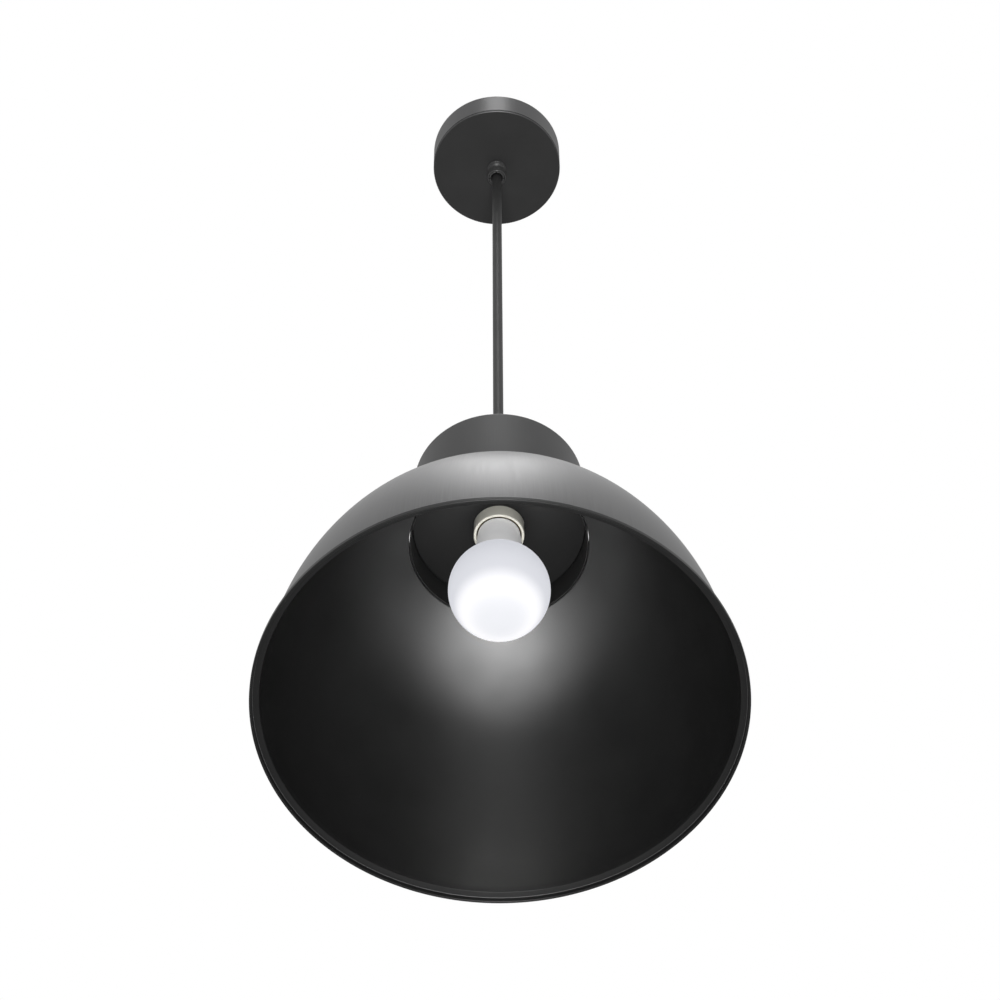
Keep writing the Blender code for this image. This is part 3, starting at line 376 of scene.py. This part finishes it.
finishes = {
    "domeMetal": brushedFinish("domeMetal", 0.145, 0.43, 0.85, "down", stretch=0.5),
    "canMetal": brushedFinish("canMetal", 0.056, 0.44, 0.8, "down"),
    "cupMetal": brushedFinish("cupMetal", 0.130, 0.42, 0.8, "around"),
    "cupFaceGrooveShade": satinFinish("cupFaceGrooveShade", 0.025, 0.5),
    "satinBlack": satinFinish("satinBlack", 0.009, 0.4, stretch=0.55),
    # a darker black than the shade's inside, for the can's inside and the plate: painted shade where the bulb's light
    # falls less
    "recessBlackPaintedShade": satinFinish("recessBlackPaintedShade", 0.003, 0.5, specular=0.24),
    "cordSkin": satinFinish("cordSkin", 0.022, 0.5, 1800.0),
    "gripPlastic": satinFinish("gripPlastic", 0.07, 0.32, 1500.0, 0.00002),
    "gripDark": satinFinish("gripDark", 0.008, 0.5, 1500.0),
    "bracketSteel": platedFinish("bracketSteel", (0.62, 0.62, 0.61), 0.36),
    "zincPlate": platedFinish("zincPlate", (0.70, 0.70, 0.66), 0.32),
    "brassShell": platedFinish("brassShell", (0.75, 0.57, 0.26), 0.28),
    "agedBrass": platedFinish("agedBrass", (0.12, 0.085, 0.04), 0.5),
    "capNickel": platedFinish("capNickel", (0.72, 0.70, 0.66), 0.24),
    "naturalPlastic": satinFinish("naturalPlastic", (0.80, 0.80, 0.74), 0.45),
    "creamPlastic": satinFinish("creamPlastic", (0.82, 0.80, 0.71), 0.32, 1200.0),
    # the bulb neck's glow is painted light: the neck is no lamp, and the glow stands in for the bulb's light falling on
    # it
    "greyPlasticPaintedGlow": satinFinish("greyPlasticPaintedGlow", (0.72, 0.72, 0.725), 0.38, 1500.0, glow=0.22),
    "darkGlass": satinFinish("darkGlass", (0.02, 0.015, 0.03), 0.12, 600.0),
    "coreBrown": satinFinish("coreBrown", (0.16, 0.07, 0.03), 0.4),
    "coreBlue": satinFinish("coreBlue", (0.04, 0.13, 0.42), 0.4),
    "coreGreen": satinFinish("coreGreen", (0.28, 0.45, 0.05), 0.4),
    "opalGlowPaintedShade": opalFinish(),
}
print("finishes made:", len(finishes))


# Camera

cameraSettings = {
    "x": 0.0008, "y": -1.1062, "belowRim": 1.4846, "lens": 111.29, "tilt": 57.203, "roll": -0.39,
}


def makeCamera():
    data = bpy.data.cameras.new("frontCamera")
    data.lens = cameraSettings["lens"]
    data.sensor_width = 36
    data.clip_start, data.clip_end = 0.05, 50
    camera = bpy.data.objects.new("frontCamera", data)
    bpy.context.scene.collection.objects.link(camera)
    place = Matrix.Translation((cameraSettings["x"], cameraSettings["y"], rimZ - cameraSettings["belowRim"]))
    tilt = Matrix.Rotation(math.radians(90 + cameraSettings["tilt"]), 4, "X")
    roll = Matrix.Rotation(math.radians(cameraSettings["roll"]), 4, "Z")
    camera.matrix_world = place @ tilt @ roll
    bpy.context.scene.camera = camera


makeCamera()
print("camera placed")


# The cord comes next: one round tube from inside the upper grip's mouth into the lower grip

cordSettings = {"radius": 0.00357, "swingZ": -0.0426, "bendZ": -0.0546, "footZ": -0.4825, "sides": 32}


def makeCord():
    # Rings stand every 0.6 mm where the cord bends and every 8 mm below. The top end is a ball about the swing
    # joint, so it turns in place.
    top, bend, foot, radius = (cordSettings[key] for key in ("swingZ", "bendZ", "footZ", "radius"))
    reach = top - bend
    ball = arcPath((0, top), radius, math.pi / 2, 0, 10)
    ball[0, 0] = 0
    near = np.arange(top - 0.0006, bend - reach, -0.0006)
    far = np.linspace(near[-1], foot, 54)[1:]
    heights = np.concatenate([near, far])
    profile = np.concatenate([ball, np.stack([np.full(len(heights), radius), heights], 1), [[0, foot]]])
    tube = turnedPiece("lampCord", profile, cordSettings["sides"], ring=False)
    tube.data.materials.append(finishes["cordSkin"])
    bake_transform(tube)
    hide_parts("cord_bend", "suspension_cord")


makeCord()
print("cord made")


# Shade

shade = {
    "wall": 0.001, "arcRadius": 0.221, "arcDrop": 0.0024, "arcTurn": 32, "neckSlope": 42,
    "rimReach": 0.0053, "rimRise": 0.0072, "rimBand": 0.0033, "lip": 0.0017, "ledge": 0.0034, "ledgeSlope": 0.0008,
    "flareRise": 0.0021, "flareShare": 0.32, "flareSoft": 0.004, "foldSoft": 0.0009, "collarRadius": 0.0592,
    "collarHeight": 0.008, "sides": 288,
}


def makeShade():
    # The outer side is a short collar, a curve that leaves it at the neck's slope, and an arc down to the rim.
    # The inner side is the same line moved in by the wall. The rim flares out to a hem.
    out = high("shade_dome").x
    wall = out - shade["rimReach"]
    collarFoot = collarTopZ - shade["collarHeight"]
    centre = (wall - shade["arcRadius"], rimZ - shade["arcDrop"])
    turn, slope = math.radians(shade["arcTurn"]), math.radians(shade["neckSlope"])
    lowTurn = math.asin((shade["rimRise"] + shade["arcDrop"]) / shade["arcRadius"])
    arc = arcPath(centre, shade["arcRadius"], turn, lowTurn, 56)
    start, end = np.array((shade["collarRadius"], collarFoot)), arc[0]
    reach = np.linalg.norm(end - start) / 3
    leave = start + reach * np.array((math.cos(slope), -math.sin(slope)))
    arrive = end + reach * np.array((-math.sin(turn), math.cos(turn)))
    curve = bezierPath(start, leave, arrive, end, 30)
    soft = 0.0005
    foot = roundedPath([(start[0], start[1] + soft * 2, 0), (start[0], start[1], soft), (*curve[3], 0)])
    skin = np.concatenate([foot[:-1], curve[4:], arc[1:]])
    inner = insetPath(skin, shade["wall"])
    collar = roundedPath([(inner[0, 0], collarTopZ - soft, 0), (inner[0, 0], collarTopZ, 0.0004),
                          (start[0], collarTopZ, 0.0004), (start[0], collarTopZ - soft, 0)])
    flare = rimZ + shade["rimBand"] + shade["flareRise"]
    lip = shade["lip"]
    rim = roundedPath([
        (wall, rimZ + shade["rimRise"], 0),
        (wall + shade["rimReach"] * shade["flareShare"], flare, shade["flareSoft"]),
        (out, rimZ + shade["rimBand"], shade["foldSoft"]),
        (out, rimZ, 0.0005),
        (out - lip, rimZ, 0.0004),
        (out - lip, rimZ + shade["ledge"], 0.0003),
        (wall - shade["wall"] * 0.5, rimZ + shade["ledge"] + shade["ledgeSlope"], 0.0003),
        (wall - shade["wall"], rimZ + shade["rimRise"], 0),
    ], steps=7)
    profile = np.concatenate([collar, skin, rim[1:-1], inner[::-1]])
    dome = turnedPiece("shadeDome", profile, shade["sides"])
    fitted(dome, [finishes["domeMetal"], finishes["satinBlack"]], "shade", ["shade_dome"])
    line = np.concatenate([skin, rim[:9]])
    order = np.argsort(line[:, 1])

    def isInside(radius, z):
        outer = np.interp(z, line[order, 1], line[order, 0])
        within = (radius < outer - shade["wall"] * 0.6) & (z > flare - 0.0012)
        hem = (z < rimZ + shade["rimBand"] - 0.0006) | ((radius < outer - 0.0004) & (z < flare + 0.001))
        return (within | hem) & (z < collarTopZ - 0.0003)

    paintInside(dome, isInside)


makeShade()
print("shade made")


# Neck can and the plate in it

can = {"topRadius": 0.0562, "footRadius": 0.0579, "wall": 0.0009, "edge": 0.0016, "hole": 0.0053, "sides": 224}


def makeCan():
    foot = low("neck_can").z
    wall, top = can["wall"], canTopZ
    profile = roundedPath([
        (can["hole"], top, 0.0002),
        (can["topRadius"], top, can["edge"]),
        (can["footRadius"], foot, 0.0003),
        (can["footRadius"] - wall, foot, 0.0003),
        (can["topRadius"] - wall, top - wall, can["edge"] - wall),
        (can["hole"], top - wall, 0.0002),
    ], closed=True, steps=8)
    shell = turnedPiece("neckCan", profile, can["sides"])
    fitted(shell, [finishes["canMetal"], finishes["recessBlackPaintedShade"]], "shade", ["neck_can"])
    rise = top - foot

    def isInside(radius, z):
        outer = can["footRadius"] + (can["topRadius"] - can["footRadius"]) * (z - foot) / rise
        # the band at the can's foot also takes the dark black, as painted shade over the highlight on the bend
        return ((radius < outer - wall * 0.6) & (z < top - wall * 0.6)) | (z < foot + 0.0006)

    paintInside(shell, isInside)


plate = {"wall": 0.001, "hole": 0.0168, "edge": 0.0004, "sides": 192}


def makePlate():
    bottom, top, out = low("inner_plate").z, high("inner_plate").z, high("inner_plate").x
    wall, hole, edge = plate["wall"], plate["hole"], plate["edge"]
    profile = roundedPath([
        (out - wall, top, 0.0003), (out, top, 0.0003), (out, bottom, edge), (hole, bottom, 0.0002),
        (hole, bottom + wall, 0.0002), (out - wall, bottom + wall, 0.0001),
    ], closed=True)
    disc = turnedPiece("innerPlate", profile, plate["sides"])
    fitted(disc, finishes["recessBlackPaintedShade"], "shade", ["inner_plate"])


makeCan()
makePlate()
print("neck can and plate made")


# Canopy cup

cup = {"radius": 0.050, "wall": 0.0008, "edge": 0.0007, "hole": 0.0053, "groove": 0.0007, "sides": 224}


def makeCup():
    # a straight side, a fine pressed groove just above the rounded bottom edge, and a flat bottom
    radius, wall, edge, groove = (cup[key] for key in ("radius", "wall", "edge", "groove"))
    grooveZ = cupZ + edge + 0.0004
    profile = roundedPath([
        (radius - wall, 0, 0.0002), (radius, 0, 0.0002),
        (radius, grooveZ + 0.0014, 0.0001), (radius - groove, grooveZ + 0.0012, 0.0001),
        (radius - groove, grooveZ, 0.0001), (radius, grooveZ - 0.0002, 0.0001),
        (radius, cupZ, edge), (cup["hole"], cupZ, 0.0002), (cup["hole"], cupZ + wall, 0.0002),
        (radius - wall, cupZ + wall, 0.0006),
    ], closed=True, steps=7)
    shell = turnedPiece("canopyCup", profile, cup["sides"])
    fitted(shell, [finishes["cupMetal"], finishes["cupFaceGrooveShade"]], "canopy", ["canopy_cup"])
    # the flat bottom and the groove take the dark satin finish; in the groove it is painted shade
    paintInside(shell, lambda r, z: (r < radius - edge) | ((r < radius - groove * 0.5) & (z > cupZ + edge)))


makeCup()
print("canopy made")


# Cord grips: a flange, a ringed barrel and a ribbed nut, with a slit collet in the mouth

grip = {
    "radius": 0.00715, "length": 0.0173, "stem": 0.005, "bore": 0.0039, "pocket": 0.0063, "colletDepth": 0.008,
    "colletRadius": 0.006, "flare": 0.00495, "ribs": 30, "ribDepth": 0.00018, "sides": 180,
}


def makeGrip(prefix, seatZ, way, stemLength, body):
    # Heights run up from the seat to the mouth. way is 1 where the mouth looks up and -1 where it looks down.
    radius, length = grip["radius"], grip["length"]
    nutFoot = length * 0.52
    corners = [
        (grip["bore"], length - grip["colletDepth"] - 0.0003, 0),
        (grip["pocket"], length - grip["colletDepth"] - 0.0003, 0),
        (grip["pocket"], length, 0.0002),
        (radius, length, 0.0008),
        (radius, nutFoot, 0.0003),
        (radius - 0.0009, nutFoot, 0.0001),
    ]
    for k in range(5):
        ringZ = nutFoot - 0.0005 - k * 0.00105
        corners += [(radius - 0.0009, ringZ, 0.0001), (radius - 0.0004, ringZ - 0.0003, 0.0001),
                    (radius - 0.0004, ringZ - 0.0006, 0.0001), (radius - 0.0009, ringZ - 0.0009, 0.0001)]
    corners += [
        (radius - 0.0009, 0.0017, 0.0001), (radius, 0.0017, 0.0003), (radius, 0.0003, 0.0002),
        (grip["stem"], 0.0003, 0), (grip["stem"], -stemLength, 0), (grip["bore"], -stemLength, 0),
    ]
    profile = roundedPath(corners, closed=True, steps=4)

    def ribs(angle, r, z):
        onNut = (z > nutFoot + 0.0008) & (z < length - 0.0012) & (r > radius - 0.0003)
        return r - onNut * grip["ribDepth"] * (0.5 + 0.5 * np.cos(angle * grip["ribs"])) ** 2

    dense = np.linspace(length - 0.0013, nutFoot + 0.0007, 8)
    spot = int(np.argmax((profile[:, 0] > radius - 1e-6) & (profile[:, 1] < length - 0.0008)))
    profile = np.concatenate([profile[:spot + 1], np.stack([np.full(8, radius), dense], 1), profile[spot + 1:]])
    barrel = turnedPiece(prefix + "GripBody", profile, grip["sides"], wave=ribs)
    bore = cordSettings["radius"] + 0.00038
    out = grip["colletRadius"]
    mouth = roundedPath([
        (grip["flare"], length + 0.0001, 0.0002), (out, length + 0.0001, 0.0003),
        (out, length - grip["colletDepth"], 0), (bore, length - grip["colletDepth"], 0),
        (bore, length - 0.0026, 0.0008),
    ], closed=True, steps=4)
    collet = sectorPiece(prefix + "GripCollet", mouth, 4, 0.16, 18)
    paintInside(barrel, lambda r, z: (z > 0.0018) & (z < nutFoot - 0.0001) & (r > grip["stem"]))
    for piece in (barrel, collet):
        moved(piece, (0, 0, seatZ), (0, 0, way))
    nodePrefix = {"canopy": "canopy", "can": "can"}[prefix]
    fitted(barrel, [finishes["gripPlastic"], finishes["gripDark"]], body, [nodePrefix + "_grip_body"])
    fitted(collet, finishes["gripPlastic"], body, [nodePrefix + "_grip_collet"])


makeGrip("canopy", cupZ, -1, 0.0062, "canopy")
makeGrip("can", canTopZ, 1, 0.0137, "shade")
print("cord grips made")


# Lampholder

holder = {"radius": 0.0165, "wall": 0.0018, "sides": 144}


def makeHolder():
    bottom, top = low("holder_body").z, high("holder_body").z
    radius, wall = holder["radius"], holder["wall"]
    profile = roundedPath([
        (radius - wall, top, 0.0002), (radius, top, 0.0003), (radius, bottom, 0.0007),
        (radius - wall, bottom, 0.0007),
    ], closed=True, steps=7)
    skirt = turnedPiece("holderSkirt", profile, holder["sides"])
    fitted(skirt, finishes["creamPlastic"], "shade", ["holder_body"])


thread = {"pitch": 0.003629, "depth": 0.001, "root": 0.0121, "gap": 0.0005, "shellWall": 0.0005,
          "sides": 96, "perPitch": 16}


def threadWave(base, lowZ, highZ, outwards):
    # The radius follows a cosine of the helix phase, height over pitch less the angle, and fades over half a
    # pitch at both ends. Only points at the base radius move.
    pitch, depth = thread["pitch"], thread["depth"]

    def wave(angle, r, z):
        fade = np.clip(np.minimum(z - lowZ, highZ - z) / (pitch / 2), 0, 1)
        phase = 2 * math.pi * z / pitch - angle
        rise = depth * (0.5 + 0.5 * np.cos(phase)) if outwards else -depth * (0.5 - 0.5 * np.cos(phase))
        return r + np.where(np.abs(r - base) < 0.00001, rise * fade, 0)

    return wave


def threadHeights(lowZ, highZ):
    return np.linspace(highZ, lowZ, int((highZ - lowZ) / thread["pitch"] * thread["perPitch"]))


def makeHolderThread():
    crest = thread["root"] + thread["depth"] + thread["gap"]
    bottom, top = low("holder_thread").z, high("holder_thread").z
    lowZ, highZ = bottom + 0.0004, bottom + 0.0182
    turns = threadHeights(lowZ, highZ)[::-1]
    outer = crest + thread["shellWall"]
    profile = np.array([(crest, top), (outer, top), (outer, bottom), (crest, bottom), *[(crest, z) for z in turns]])
    shell = turnedPiece("holderThread", profile, thread["sides"], wave=threadWave(crest, lowZ, highZ, False))
    fitted(shell, finishes["agedBrass"], "shade", ["holder_thread"])


makeHolder()
makeHolderThread()
print("lampholder made")


# Bulb

bulb = {
    "radius": 0.0325, "neckRadius": 0.0157, "neckTopRadius": 0.0138, "lean": 11,
    "wall": 0.001, "sides": 192,
}


def makeGlobe():
    # a sphere that turns into the neck by a hollow curve, as one closed shell with an inner side
    radius, neck, wall = bulb["radius"], bulb["neckRadius"], bulb["wall"]
    top = high("bulb_globe").z
    centre = low("bulb_globe").z + radius
    lean = math.asin(neck / radius) + math.radians(bulb["lean"])
    join = np.array((radius * math.sin(lean), centre + radius * math.cos(lean)))
    bend = np.array((neck, join[1] + (join[0] - neck) * math.tan(lean)))
    start = np.array((neck, top))
    curve = bezierPath(start, start + (bend - start) * 2 / 3, join + (bend - join) * 2 / 3, join, 18)
    sphere = arcPath((0, centre), radius, math.pi / 2 - lean, -math.pi / 2, 64)
    outer = np.concatenate([curve, sphere[1:]])
    outer[-1, 0] = 0
    inner = insetPath(outer, wall)
    inner[-1] = (0, outer[-1, 1] + wall)
    inner[0, 1] = top
    globe = turnedPiece("bulbGlobe", np.concatenate([inner[::-1], outer]), bulb["sides"], ring=False)
    globe.visible_shadow = globe.visible_glossy = False
    fitted(globe, finishes["opalGlowPaintedShade"], "bulb", ["bulb_globe"])


def makeBulbNeck():
    spigot = thread["root"] - 0.0008
    bottom, top = low("bulb_neck").z, high("bulb_neck").z
    seat = top - 0.006
    profile = roundedPath([
        (spigot - 0.0012, top, 0.0002), (spigot, top, 0.0002), (spigot, seat, 0),
        (bulb["neckTopRadius"], seat, 0.0005), (bulb["neckRadius"] + 0.0002, bottom + 0.0003, 0.0003),
        (bulb["neckRadius"], bottom, 0.0001), (bulb["neckRadius"] - 0.0015, bottom, 0.0002),
        (spigot - 0.0012, seat - 0.002, 0.001),
    ], closed=True)
    neck = turnedPiece("bulbNeck", profile, bulb["sides"])
    fitted(neck, finishes["greyPlasticPaintedGlow"], "bulb", ["bulb_neck"])


def makeCap():
    root, depth = thread["root"], thread["depth"]
    bottom, top = low("bulb_cap").z, high("bulb_cap").z
    lowZ, highZ = bottom + 0.0012, bottom + 0.0172
    wall = 0.0005
    turns = threadHeights(lowZ, highZ)
    profile = [(root - 0.0014, top), (root - 0.0003, top - 0.0002), (root, top - 0.0006)]
    profile += [(root, z) for z in turns]
    profile += [(root + depth * 0.9, bottom + 0.0007), (root + depth, bottom + 0.0004), (root + depth, bottom),
                (root - wall, bottom), (root - wall, top - 0.0010), (root - 0.0014, top - 0.0006)]
    shell = turnedPiece("bulbCap", np.array(profile), thread["sides"], wave=threadWave(root, lowZ, highZ, True))
    fitted(shell, finishes["capNickel"], "bulb", ["bulb_cap"])


def makeTip():
    bottom, top, out = low("bulb_insulator").z, high("bulb_insulator").z, high("bulb_insulator").x
    tipRadius = high("bulb_contact").x
    profile = roundedPath([(0, top, 0), (tipRadius, top, 0.0004), (out, bottom + 0.0006, 0.0006), (out, bottom, 0.0002),
                           (0, bottom, 0)])
    cone = turnedPiece("bulbInsulator", profile, 96, ring=False)
    fitted(cone, finishes["darkGlass"], "bulb", ["bulb_insulator"])
    bottom, top = low("bulb_contact").z, high("bulb_contact").z
    profile = roundedPath([(0, top, 0), (tipRadius * 0.7, top, 0.0012), (tipRadius, bottom + 0.0004, 0.0003),
                           (tipRadius, bottom, 0), (0, bottom, 0)])
    tip = turnedPiece("bulbContact", profile, 96, ring=False)
    fitted(tip, finishes["zincPlate"], "bulb_seat", ["bulb_contact"])


makeGlobe()
makeBulbNeck()
makeCap()
makeTip()
print("bulb made")


# Screws that show: button heads and grub screws with hexagon sockets

screw = {"radius": 0.0015, "socket": 0.55, "sides": 72}


def hexSocket(socketRadius):
    # inside the socket radius the wall is the hexagon of that half width: r = w / cos of the angle from a flat
    def wave(angle, r, z):
        fromFlat = np.mod(angle, math.pi / 3) - math.pi / 6
        return np.where(np.abs(r - socketRadius) < 0.000005, socketRadius / np.cos(fromFlat), r)

    return wave


def makeScrew(name, radius, length, headRadius, headHeight):
    socket = radius * screw["socket"]
    depth = headHeight * 0.7
    head = roundedPath([(socket * 1.3, headHeight, 0), (headRadius * 0.72, headHeight, headRadius * 0.5),
                        (headRadius, headHeight * 0.35, headRadius * 0.12), (headRadius, 0, 0.00012), (radius, 0, 0)])
    profile = np.concatenate([[(0, headHeight - depth), (socket, headHeight - depth), (socket, headHeight)], head,
                              [(radius, -length), (0, -length)]])
    return turnedPiece(name, profile, screw["sides"], ring=False, wave=hexSocket(socket), sharpAngle=30)


def middleOf(node):
    return (np.array(low(node)) + np.array(high(node))) / 2


def makeScrews():
    for k in (1, 2, 3):
        middle = middleOf(f"post_screw_{k}")
        piece = makeScrew(f"postScrew{k}", screw["radius"], 0.010, 2 * screw["radius"], screw["radius"])
        moved(piece, (middle[0], middle[1], high(f"post_screw_{k}").z - screw["radius"]))
        fitted(piece, finishes["zincPlate"], "shade", [f"post_screw_{k}"])
        middle = middleOf(f"collar_screw_{k}")
        outward = np.array((middle[0], middle[1], 0)) / np.hypot(middle[0], middle[1])
        seat = outward * (shade["collarRadius"] + 0.0003)
        piece = makeScrew(f"collarScrew{k}", screw["radius"], 0.005, 1.8 * screw["radius"], screw["radius"])
        moved(piece, (seat[0], seat[1], middle[2]), outward)
        fitted(piece, finishes["zincPlate"], "shade", [f"collar_screw_{k}"])
    for k, side in ((1, -1), (2, 1)):
        node = f"canopy_set_screw_{k}"
        middle = middleOf(node)
        length = high(node).x - low(node).x
        radius = (high(node).z - low(node).z) / 2
        socket = radius * screw["socket"]
        rim = roundedPath([(socket * 1.2, 0, 0), (radius, 0, 0.0003), (radius, -length, 0.0003), (0, -length, 0)])
        profile = np.concatenate([[(0, -length * 0.4), (socket, -length * 0.4), (socket, 0)], rim])
        piece = turnedPiece(f"setScrew{k}", profile, screw["sides"], ring=False, wave=hexSocket(socket), sharpAngle=30)
        moved(piece, (side * (abs(middle[0]) + length / 2), 0, middle[2]), (side, 0, 0))
        fitted(piece, finishes["zincPlate"], "canopy", [node])


makeScrews()
print("screws made")


# Small inner parts keep the frame's shape, with softened edges

def softened(node, look, body, width, name):
    copy = frame["nodes"][node].data.copy()
    work = bmesh.new()
    work.from_mesh(copy)
    bmesh.ops.remove_doubles(work, verts=work.verts, dist=0.000002)
    bmesh.ops.dissolve_limit(work, angle_limit=math.radians(1), verts=work.verts, edges=work.edges)
    work.to_mesh(copy)
    work.free()
    piece = bpy.data.objects.new(name, copy)
    bpy.context.scene.collection.objects.link(piece)
    copy.shade_smooth()
    copy.set_sharp_from_angle(angle=math.radians(40))
    if width:
        bevel = piece.modifiers.new("softEdges", "BEVEL")
        bevel.width = width
        bevel.segments = 2
        bevel.limit_method = "ANGLE"
        bevel.angle_limit = math.radians(50)
        bevel.harden_normals = False
    fitted(piece, look, body, [node])


def bodyOf(node):
    return next(body for body, nodes in frame["record"]["behaviour"]["bodies"].items() if node in nodes)


innerParts = {
    "ceiling_bracket": ("bracketSteel", 0.0002), "terminal_block": ("naturalPlastic", 0.0002),
    "terminal_block_screw": ("zincPlate", 0), "canopy_grip_washer": ("zincPlate", 0.0001),
    "canopy_grip_nut": ("zincPlate", 0.0002), "cord_top_end": ("cordSkin", 0), "cord_bottom_end": ("cordSkin", 0),
    "can_earth_washer": ("zincPlate", 0.0001), "can_grip_nut": ("zincPlate", 0.0002),
    "holder_cap": ("creamPlastic", 0), "holder_insert": ("naturalPlastic", 0), "holder_contact": ("brassShell", 0),
    "holder_screw_1": ("zincPlate", 0), "holder_screw_2": ("zincPlate", 0), "bulb_led_board": ("naturalPlastic", 0),
}
for k in (1, 2, 3):
    innerParts[f"terminal_tube_{k}"] = ("brassShell", 0)
    innerParts[f"plate_post_{k}"] = ("zincPlate", 0)
    for end in ("top", "bottom"):
        innerParts[f"{end}_core_{k}"] = (("coreBrown", "coreBlue", "coreGreen")[k - 1], 0)
for k in range(1, 7):
    innerParts[f"terminal_screw_{k}"] = ("zincPlate", 0)
for node, (look, width) in innerParts.items():
    softened(node, finishes[look], bodyOf(node), width, "fine_" + node)
print("inner parts softened:", len(innerParts))


# Floor, sky and lights

floorSettings = {"radius": 1.4, "z": -3.0, "tone": 0.86}
sky = {"below": 0.16, "level": 0.32, "above": 0.8, "backdrop": 1.0}
lights = {
    "overhead": {"place": (0.0, -0.55, 2.2), "size": (0.6, 1.8), "power": 13.5, "aim": (0, -0.549, -0.4)},
    "frontLow": {"place": (0.0, -1.35, -2.9), "size": (0.6, 0.6), "power": 60, "aim": (0, 0, -0.6)},
    "left": {"place": (-2.0, -0.6, 0.3), "size": (0.8, 1.6), "power": 3, "aim": (0, 0, -0.5)},
    "right": {"place": (2.0, -0.6, 0.3), "size": (0.8, 1.6), "power": 3, "aim": (0, 0, -0.5)},
}
bulbLight = {
    "power": 0.375, "radius": 0.024, "blend": 0.35, "corePower": 0.04, "coreRadius": 0.016,
    "heartPower": 0.032, "heartRadius": 0.018,
}


def makeFloor():
    angles = np.arange(96) * 2 * math.pi / 96
    rim = np.stack([np.cos(angles), np.sin(angles), np.zeros(96)], 1) * floorSettings["radius"]
    floor = newPiece("floor", rim + np.array((0, 0, floorSettings["z"])), [list(range(96))])
    floor.data.materials.append(satinFinish("paleFloor", floorSettings["tone"], 0.6, 300.0))


def makeSky():
    # Lights the lamp by a sky that is dim below and bright above, and shows plain white behind it.
    world = bpy.data.worlds.new("studioSky")
    world.use_nodes = True
    bpy.context.scene.world = world
    tree = world.node_tree
    tree.nodes.clear()
    direction = wire(tree, "ShaderNodeTexCoord").outputs["Generated"]
    upward = wire(tree, "ShaderNodeSeparateXYZ", {"Vector": direction})
    share = wire(tree, "ShaderNodeMapRange", {"Value": upward.outputs["Z"], "From Min": -1.0, "From Max": 1.0})
    ramp = wire(tree, "ShaderNodeValToRGB", {"Fac": share.outputs["Result"]})
    ramp.color_ramp.elements[0].color = (*(sky["below"],) * 3, 1)
    ramp.color_ramp.elements[1].color = (*(sky["above"],) * 3, 1)
    ramp.color_ramp.elements.new(0.5).color = (*(sky["level"],) * 3, 1)
    lit = wire(tree, "ShaderNodeBackground", {"Color": ramp.outputs["Color"], "Strength": 1.0})
    plain = wire(tree, "ShaderNodeBackground", {"Color": (1, 1, 1, 1), "Strength": sky["backdrop"]})
    seen = wire(tree, "ShaderNodeLightPath").outputs["Is Camera Ray"]
    mixed = wire(tree, "ShaderNodeMixShader", {0: seen, 1: lit.outputs[0], 2: plain.outputs[0]})
    wire(tree, "ShaderNodeOutputWorld", {"Surface": mixed.outputs[0]})


def makeLights():
    for name, one in lights.items():
        data = bpy.data.lights.new(name, "AREA")
        data.shape = "RECTANGLE"
        data.size, data.size_y = one["size"]
        data.energy = one["power"]
        light = bpy.data.objects.new(name, data)
        bpy.context.scene.collection.objects.link(light)
        place, aim = np.array(one["place"], float), np.array(one["aim"], float)
        back = (place - aim) / np.linalg.norm(place - aim)
        side = np.cross((0, 1, 0) if abs(back[2]) > 0.9 else (0, 0, 1), back)
        side /= np.linalg.norm(side)
        turn = Matrix(np.stack([side, np.cross(back, side), back], 1).tolist()).to_4x4()
        light.matrix_world = Matrix.Translation(one["place"]) @ turn
        light.visible_camera = False
    # the light that the bulb throws up into the shade, its weaker light all round, and a small one that only the
    # opal lets through
    for name, kind, power, radius in (("bulbGlow", "SPOT", bulbLight["power"], bulbLight["radius"]),
                                      ("bulbCore", "POINT", bulbLight["corePower"], bulbLight["coreRadius"]),
                                      ("bulbHeart", "POINT", bulbLight["heartPower"], bulbLight["heartRadius"])):
        data = bpy.data.lights.new(name, kind)
        data.energy = power
        data.shadow_soft_size = radius
        data.use_soft_falloff = False
        if kind == "SPOT":
            data.spot_size, data.spot_blend = math.pi, bulbLight["blend"]
        light = bpy.data.objects.new(name, data)
        bpy.context.scene.collection.objects.link(light)
        light.parent = frame["bodies"]["bulb"]
        upward = Matrix.Rotation(math.pi, 4, "X")
        light.matrix_world = Matrix.Translation((0, 0, low("bulb_globe").z + bulb["radius"])) @ upward
        light.visible_camera = False
        light.visible_transmission = name == "bulbHeart"
        light.visible_glossy = light.visible_diffuse = name != "bulbHeart"


makeFloor()
makeSky()
makeLights()
bpy.context.scene.view_settings.view_transform = "Standard"
print("stage and lights set")
